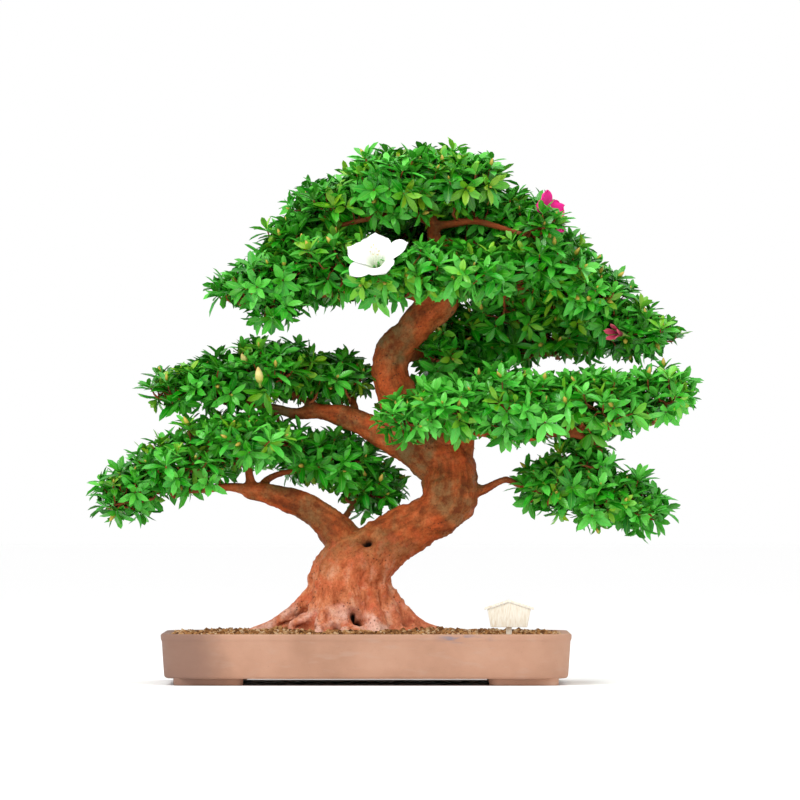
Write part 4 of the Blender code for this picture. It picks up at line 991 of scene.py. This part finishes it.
def makeSoil():
    # the tray's inner outline shrunk in even steps to the middle, each point at the soil's height there
    edge = trayLoop(tray["wall"] + 0.3, soil["edge"])
    steps = np.linspace(0, 1, 5, endpoint=False)[None, :, None]
    edge = (edge[:, None] + (np.roll(edge, -1, axis=0) - edge)[:, None] * steps).reshape(-1, 3)
    shrink = np.linspace(1, 0.02, soil["rings"])[:, None]
    x, y = edge[None, :, 0] * shrink, edge[None, :, 1] * shrink
    top = np.stack([x, y, soilHeight(x, y)], -1)
    bottom = [edge * [0.985, 0.985, 0] + [0, 0, z] for z in (16.8, 50)]
    points, groups = loft(bottom + list(top))
    return newPiece("soil_bed", points, groups)


def makeCrumbs():
    # angular crumbs: the corners of an icosahedron, each pushed in or out, on a turned and stretched ball
    draw = np.random.default_rng(soil["seed"])
    count = soil["crumbs"]
    ball = bmesh.new()
    bmesh.ops.create_icosphere(ball, subdivisions=1, radius=1)
    corners = np.array([v.co for v in ball.verts])
    faces = np.array([[v.index for v in face.verts] for face in ball.faces])
    ball.free()
    half = np.array([tray["width"], tray["depth"]]) / 2 - tray["wall"] - 1.5
    flat = draw.uniform(-1, 1, (count * 2, 2)) * half
    past = np.maximum(np.abs(flat) - (half - soil["corner"]), 0)
    flat = flat[np.linalg.norm(past, axis=1) < soil["corner"]][:count]
    size = draw.uniform(*soil["crumbSize"], len(flat)) * draw.uniform(0.7, 1.1, len(flat))
    place = np.column_stack([flat, soilHeight(flat[:, 0], flat[:, 1]) + size * 0.25])
    keep = nearestWood(place, samples)[1] > -1.5
    place, size = place[keep], size[keep]
    turn = np.linalg.qr(draw.normal(size=(len(place), 3, 3)))[0]
    turn *= np.linalg.det(turn)[:, None, None]
    shape = corners[None] * draw.uniform(0.72, 1.15, (len(place), len(corners), 1))
    shape = shape * draw.uniform(0.7, 1.2, (len(place), 1, 3))
    points = np.einsum("nij,nkj->nki", turn, shape) * size[:, None, None] + place[:, None]
    groups = [(faces[None] + (np.arange(len(place)) * len(corners))[:, None, None]).reshape(-1, 3)]
    piece = newPiece("soil_crumbs", points.reshape(-1, 3), groups)
    setValues(piece.data, tone=np.repeat(draw.uniform(0, 1, len(place)), len(corners)))
    piece.data.shade_flat()
    return piece


def earthMaterial(name, byCrumb):
    material = newMaterial(name, Roughness=0.95, Specular_IOR_Level=0.2)
    place = objectPlace()
    grit = noiseAt(place, 320, 5, 0.65)
    value = pointValue("tone") if byCrumb else noiseAt(place, 90, 4)
    colour = ramp(plus(times(value, 0.75), times(grit, 0.3)), (0.15, (0.080, 0.030, 0.009)),
                  (0.42, (0.25, 0.105, 0.032)), (0.68, (0.42, 0.210, 0.075)), (0.95, (0.60, 0.44, 0.28)))
    dress(colour, grit, 0.0009, 0.9)
    return material


finishPiece(makeSoil(), earthMaterial("earth", False), "earth", "soil")
finishPiece(makeCrumbs(), earthMaterial("crumbs", True), "earth")
print("soil done")


def tinted(name, dark, light, roughness=0.5, scale=300, low=0.35, high=0.65):
    # a material between two shades of a colour that varies a little from place to place
    material = newMaterial(name, Roughness=roughness)
    dress(ramp(noiseAt(objectPlace(), scale), (low, dark), (high, light)))
    return material


screenPlastic = tinted("screenPlastic", (0.012, 0.012, 0.012), (0.035, 0.034, 0.032), 0.5, 200, 0.3, 0.7)
for node in ("drain_screen_left", "drain_screen_right"):
    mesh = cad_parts[node].data
    mesh.materials.clear()
    mesh.materials.append(screenPlastic)


def standing(at, faces):
    # the place of a flower or bud, and its three axes: right, up and the way it faces
    ahead = unit(np.array(faces, float))
    right = unit(np.cross([0, 0, 1.0], ahead))
    return np.array(at, float), np.stack([right, np.cross(ahead, right), ahead])


def makeCorolla(name):
    # Each petal is a patch in polar form. Along it, t runs from the tube's foot to the petal's edge: distance
    # from the axis grows as t to the power 1.6 and height falls off towards the edge. Across it, v turns by a
    # share of the petal's angle that closes in a quarter circle, or more pointed, at the edge. Sines across and
    # along ruffle the outer part.
    flower = flowers[name]
    size = flower["radius"]
    at, axes = standing(flower["at"], flower["faces"])
    draw = np.random.default_rng(len(name))
    rows, columns = 22, 17
    t = np.linspace(0, 1, rows)[:, None]
    v = np.linspace(-1, 1, columns)[None, :]
    faces = gridFaces(rows, columns, closed=False)[:, [0, 3, 2, 1]]
    shapes = []
    for number, (direction, far, wide, lift, pointed) in enumerate(flower["petals"]):
        middle = math.radians(direction) + draw.normal() * 0.05
        rounded = np.sqrt((1 - np.clip((t - 0.60) / 0.40, 0, 1) ** 2.4).clip(0))
        closing = (rounded + (1 - np.clip((t - 0.40) / 0.60, 0, 1) ** 1.5 - rounded) * pointed) * 0.985 + 0.015
        angle = middle + v * math.pi / 5 * flower["width"] * (1 + (wide - 1) * t) * closing
        reach = 2.6 + (size * far * draw.uniform(0.97, 1.05) - 2.6) * t ** 1.6 * (1 - 0.07 * v**2 * t)
        height = flower["tube"] * (0.80 * (t ** 0.75) - 0.80) + size * (0.30 * np.sin(math.pi * t * 0.62) * t)
        height = height - flower["curl"] * size * t**5 - v**2 * t**2 * 1.4 + lift * size * t**2
        phase = draw.uniform(0, math.tau)
        waves = np.sin(v * 5.2 + phase) * 0.7 + np.sin(v * 9.1 + t * 5 + phase) * 0.4 * np.abs(v)
        height = height + flower["ruffle"] * t**3 * waves + 0.5 * (number % 2)
        rib = -0.35 * np.exp(-((v / 0.12) ** 2)) * t * (1 - t)
        local = np.stack([reach * np.cos(angle), reach * np.sin(angle), height + rib], -1)
        shapes.append((at + local.reshape(-1, 3) @ axes, [faces]))
    piece = newPiece(name.replace("flower", "corolla"), *joined(shapes))
    uv = np.stack(np.broadcast_arrays(v * 0.5 + 0.5, t), -1).reshape(-1, 2)
    setUv(piece.data, np.tile(uv, (len(flower["petals"]), 1)))
    addModifier(piece, "SOLIDIFY", thickness=0.0005, offset=0)
    return piece


def petalMaterial(flower):
    throat = flower["throat"]
    material = newMaterial(flower["slot"], Roughness=flower["roughness"], Specular_IOR_Level=0.3)
    along = separated(uvPlace())[1]
    fibres = noiseAt(stretched(uvPlace(), (26, 2.2, 1)), 1, 3, 0.5)
    colour = mixColour(fade(along, 0.55, 1.0), flower["main"], flower["edge"])
    veined = mixColour(fade(fibres, 0.52, 0.66, 0, 0.22), colour, throat)
    dress(mixColour(fade(along, 0.62, 0.20, 0, 0.85), veined, throat), fibres, 0.0005, 0.5)
    return material


def makeStamens(name):
    # filaments rise from the throat and curve up at their ends, each with a small anther; the style is longer
    flower, count, length = flowers[name], stamens["count"], stamens["length"]
    at, axes = standing(flower["at"], flower["faces"])
    draw = np.random.default_rng(stamens["seed"])
    t = np.linspace(0, 1, 12)
    filaments, anthers = [], []
    for k in range(count + 1):
        isStyle = k == count
        turn = math.tau * k / count + 0.3
        spread = 0.5 if isStyle else 4.6
        far = length * (stamens["style"] if isStyle else draw.uniform(0.8, 1.05))
        x = np.cos(turn) * spread * t**1.4
        y = np.sin(turn) * spread * t**1.4 + 5 * t**3
        path = at + np.stack([x, y, far * t - 18], 1) @ axes
        filaments.append(np.column_stack([path, np.full(12, 0.42 if isStyle else 0.34)]))
        swell = np.sin(np.linspace(0.25, math.pi - 0.25, 7)) * (0.7 if isStyle else 0.8)
        lie = unit(draw.normal(size=3)) * np.linspace(-1.3, 1.3, 7)[:, None]
        anthers.append(np.column_stack([path[-1] + lie, swell]))
    return (newPiece("white_filaments", *tubes(np.array(filaments), 8)),
            newPiece("white_anthers", *tubes(np.array(anthers), 10)))


def makeStalk(name):
    # the green cup and the stalk behind a flower, which bends down a little
    flower = flowers[name]
    at, (right, up, ahead) = standing(flower["at"], flower["faces"])
    back = at - ahead * flower["tube"] * 0.74
    path = np.array([back, back - ahead * 3, back - ahead * 9 - [0, 0, 1], back - ahead * 22 - [0, 0, 2]])
    knots = np.column_stack([path, [3.3, 2.4, 1.1, 1.0]])
    return newPiece(name.replace("flower", "stalk"), *tubes(smoothPath(knots, 1.5)[None], 10))


stamens = {"count": 6, "length": 27, "style": 1.25, "seed": 3}  # style: how much longer than the filaments
stalkGreen = tinted("stalkGreen", (0.154, 0.252, 0.042), (0.22, 0.36, 0.06))
for name, flower in flowers.items():
    finishPiece(makeCorolla(name), petalMaterial(flower), flower["slot"], name)
    finishPiece(makeStalk(name), stalkGreen, "leaf")
threads, pollen = makeStamens("white_flower")
threadLook = tinted("filament", (0.602, 0.63, 0.518), (0.86, 0.90, 0.74), 0.45)
finishPiece(threads, threadLook, "stamen", "white_flower_stamens")
finishPiece(pollen, tinted("pollen", (0.518, 0.434, 0.238), (0.74, 0.62, 0.34), 0.7), "stamen")
print("flowers done")

# buds: points is the way a bud points, and root where its stem stands in the wood
buds = {
    "bud_cream_upper": {"foot": (-128, -36, 341), "points": (-0.4, -0.5, 0.8), "length": 13, "radius": 3.6,
                        "root": (-118, -6, 329)},
    "bud_cream_lower": {"foot": (-113, -56, 319), "points": (-0.12, -0.30, 1.0), "length": 19, "radius": 4.6,
                        "root": (-107, -14, 328)},
}


def makeBud(name):
    # distance from the axis is the radius times a sine of the height, which scales step in a spiral
    bud = buds[name]
    length = bud["length"]
    foot, axes = standing(bud["foot"], bud["points"])
    rows, columns = 40, 30
    t = np.linspace(0.02, 0.98, rows)[:, None]
    turn = np.linspace(0, math.tau, columns, endpoint=False)[None, :]
    body = np.sin(math.pi * t ** 0.82) ** 0.72
    scale = (t * 4.2 + turn / math.tau * 2) % 1.0
    reach = bud["radius"] * body * (0.90 + 0.14 * scale * (1 - t))
    skin = np.stack([reach * np.cos(turn), reach * np.sin(turn), np.broadcast_to(length * t, reach.shape)], -1)
    local = np.vstack([[[0, 0, 0]], skin.reshape(-1, 3), [[0, 0, length]]])
    root = np.array(bud["root"])
    bend = foot * 0.4 + root * 0.6 - [0, 0, 2]
    knots = np.column_stack([[foot + axes[2] * 3, foot - axes[2] * 3.5, bend, root], [1.6, 1.4, 1.2, 1.1]])
    stem = tubes(smoothPath(knots, 2)[None], 8)
    piece = newPiece(name + "_scales", *joined([(foot + local @ axes, ringFaces(1, rows, columns)), stem]))
    setValues(piece.data, height=np.concatenate([local[:, 2] / length, np.zeros(len(stem[0]))]))
    return piece


budScales = budMaterial("budScales", (0.15, (0.16, 0.26, 0.03)), (0.45, (0.50, 0.44, 0.09)),
                        (0.85, (0.72, 0.62, 0.25)), (1.0, (0.62, 0.46, 0.15)))
for name in buds:
    finishPiece(makeBud(name), budScales, "bud", name)
print("buds done")

# the label: a five-sided board, a strip along its eaves and a stake
label = {
    "x": 151, "y": -108, "top": 46, "foot": 38.5, "eaves": 19, "peak": 26.5, "base": 61, "thickness": 3,
    "strip": 2.4, "overhang": 3, "gap": 0.3,
}


def woodMaterial():
    material = newMaterial("paleWood", Roughness=0.62, Specular_IOR_Level=0.3)
    place = objectPlace((1, 1, 0.12))
    wander = noiseAt(objectPlace((1, 1, 0.4)), 40, 2, 0.5, "Color")
    bent = addNode("VectorMath", {0: wander, 1: (0.006, 0.006, 0), 2: place}, operation="MULTIPLY_ADD")
    grain = noiseAt(bent.outputs[0], 900, 3, 0.5)
    colour = ramp(grain, (0.35, (0.70, 0.60, 0.45)), (0.50, (0.80, 0.74, 0.61)), (0.68, (0.86, 0.83, 0.74)))
    toned = mixColour(fade(noiseAt(place, 120, 2), 0.45, 0.65, 0, 0.35), colour, (0.84, 0.80, 0.69, 1))
    dress(toned, grain, 0.0003, 0.5)
    return material


def makePlate(name, node, outline, lowY, highY, edge):
    # an outline in X and Z between two depths, with its edges eased by a bevel
    x, z = (np.array(outline, float) + [label["x"], label["base"]]).T
    piece = newPiece(name, *loft([np.column_stack([x, np.full(len(x), y), z]) for y in (highY, lowY)]))
    addModifier(piece, "BEVEL", width=edge * mm, segments=3)
    piece.data.set_sharp_from_angle(angle=math.radians(30))
    finishPiece(piece, paleWood, "pale_wood", node)


paleWood = woodMaterial()
foot, top, eaves, peak = label["foot"] / 2, label["top"] / 2, label["eaves"], label["peak"]
gap, strip = label["gap"], label["strip"]
back = label["y"] - gap
front = label["y"] - label["thickness"] - gap
board = [(-foot, 0), (foot, 0), (top, eaves), (0, peak), (-top, eaves)]
makePlate("board", "label_board", board, front, back, 0.4)
reach, ridge = top + label["overhang"], peak + 0.33
drop = eaves + 0.33 - 3 * (peak - eaves) / top
lower = [(-reach, drop), (0, ridge), (reach, drop)]
roof = lower + [(x, z + strip) for x, z in lower[::-1]]
makePlate("eaves_strip", "label_roof", roof, front - 1.6, label["y"] + 1.4, 0.3)
stake = [(-3, eaves - 4), (-3, -19), (0, -26), (3, -19), (3, eaves - 4)]
makePlate("stake", "label_stake", stake, label["y"], label["y"] + 3, 0.3)
print("label done")

# floor, light and camera; each lamp is (place in m, width in m, power in W) and aimed at one place
stage = {
    "shade": (0.99, 0.99, 0.99, 1), "world": 1.0, "half": 2e4, "lampAim": (0, 0, 0.3),
    "lamps": {
        "key": ((-1.1, -1.7, 2.1), 0.9, 33),
        "top": ((0.3, -0.2, 2.4), 1.4, 15),
        "fill": ((1.9, -1.5, 0.9), 1.4, 3),
    },
}
view = {"across": 856, "distance": 9000, "height": 214, "aim": (35.8, 0, 302.2)}  # mm


def makeStage():
    corners = np.array([[-1, -1, 0], [1, -1, 0], [1, 1, 0], [-1, 1, 0]]) * stage["half"] - [0, 0, 0.2]
    floor = newPiece("floor", corners, [np.array([[0, 1, 2, 3]])])
    floor.data.materials.append(newMaterial("floor", Base_Color=stage["shade"], Roughness=0.9))
    world = bpy.data.worlds.new("studio")
    world.use_nodes = True
    background = world.node_tree.nodes["Background"].inputs
    background["Color"].default_value = (1, 1, 1, 1)
    background["Strength"].default_value = stage["world"]
    bpy.context.scene.world = world
    bpy.context.scene.view_settings.view_transform = "Standard"


def addLamp(name, place, size, power):
    lamp = bpy.data.lights.new(name, "AREA")
    lamp.shape = "DISK"
    lamp.size = size
    lamp.energy = power
    made = newObject(name, lamp)
    made.location = place
    x, y, z = np.array(stage["lampAim"]) - place
    made.rotation_euler = (math.atan2(math.hypot(x, y), -z), 0, math.atan2(y, x) - math.pi / 2)


def addCamera():
    camera = bpy.data.cameras.new("camera")
    camera.sensor_width = 36
    camera.lens = 36 * view["distance"] / view["across"]
    camera.clip_end = 100
    made = newObject("camera", camera)
    aim = trayCentre + np.array(view["aim"]) * mm
    place = aim + np.array([0, -view["distance"], view["height"] - view["aim"][2]]) * mm
    made.location = place
    made.rotation_euler = (math.pi / 2 - math.atan2(place[2] - aim[2], view["distance"] * mm), 0, 0)
    bpy.context.scene.camera = made


makeStage()
for name, lamp in stage["lamps"].items():
    addLamp(name, *lamp)
addCamera()

print("pieces ready")
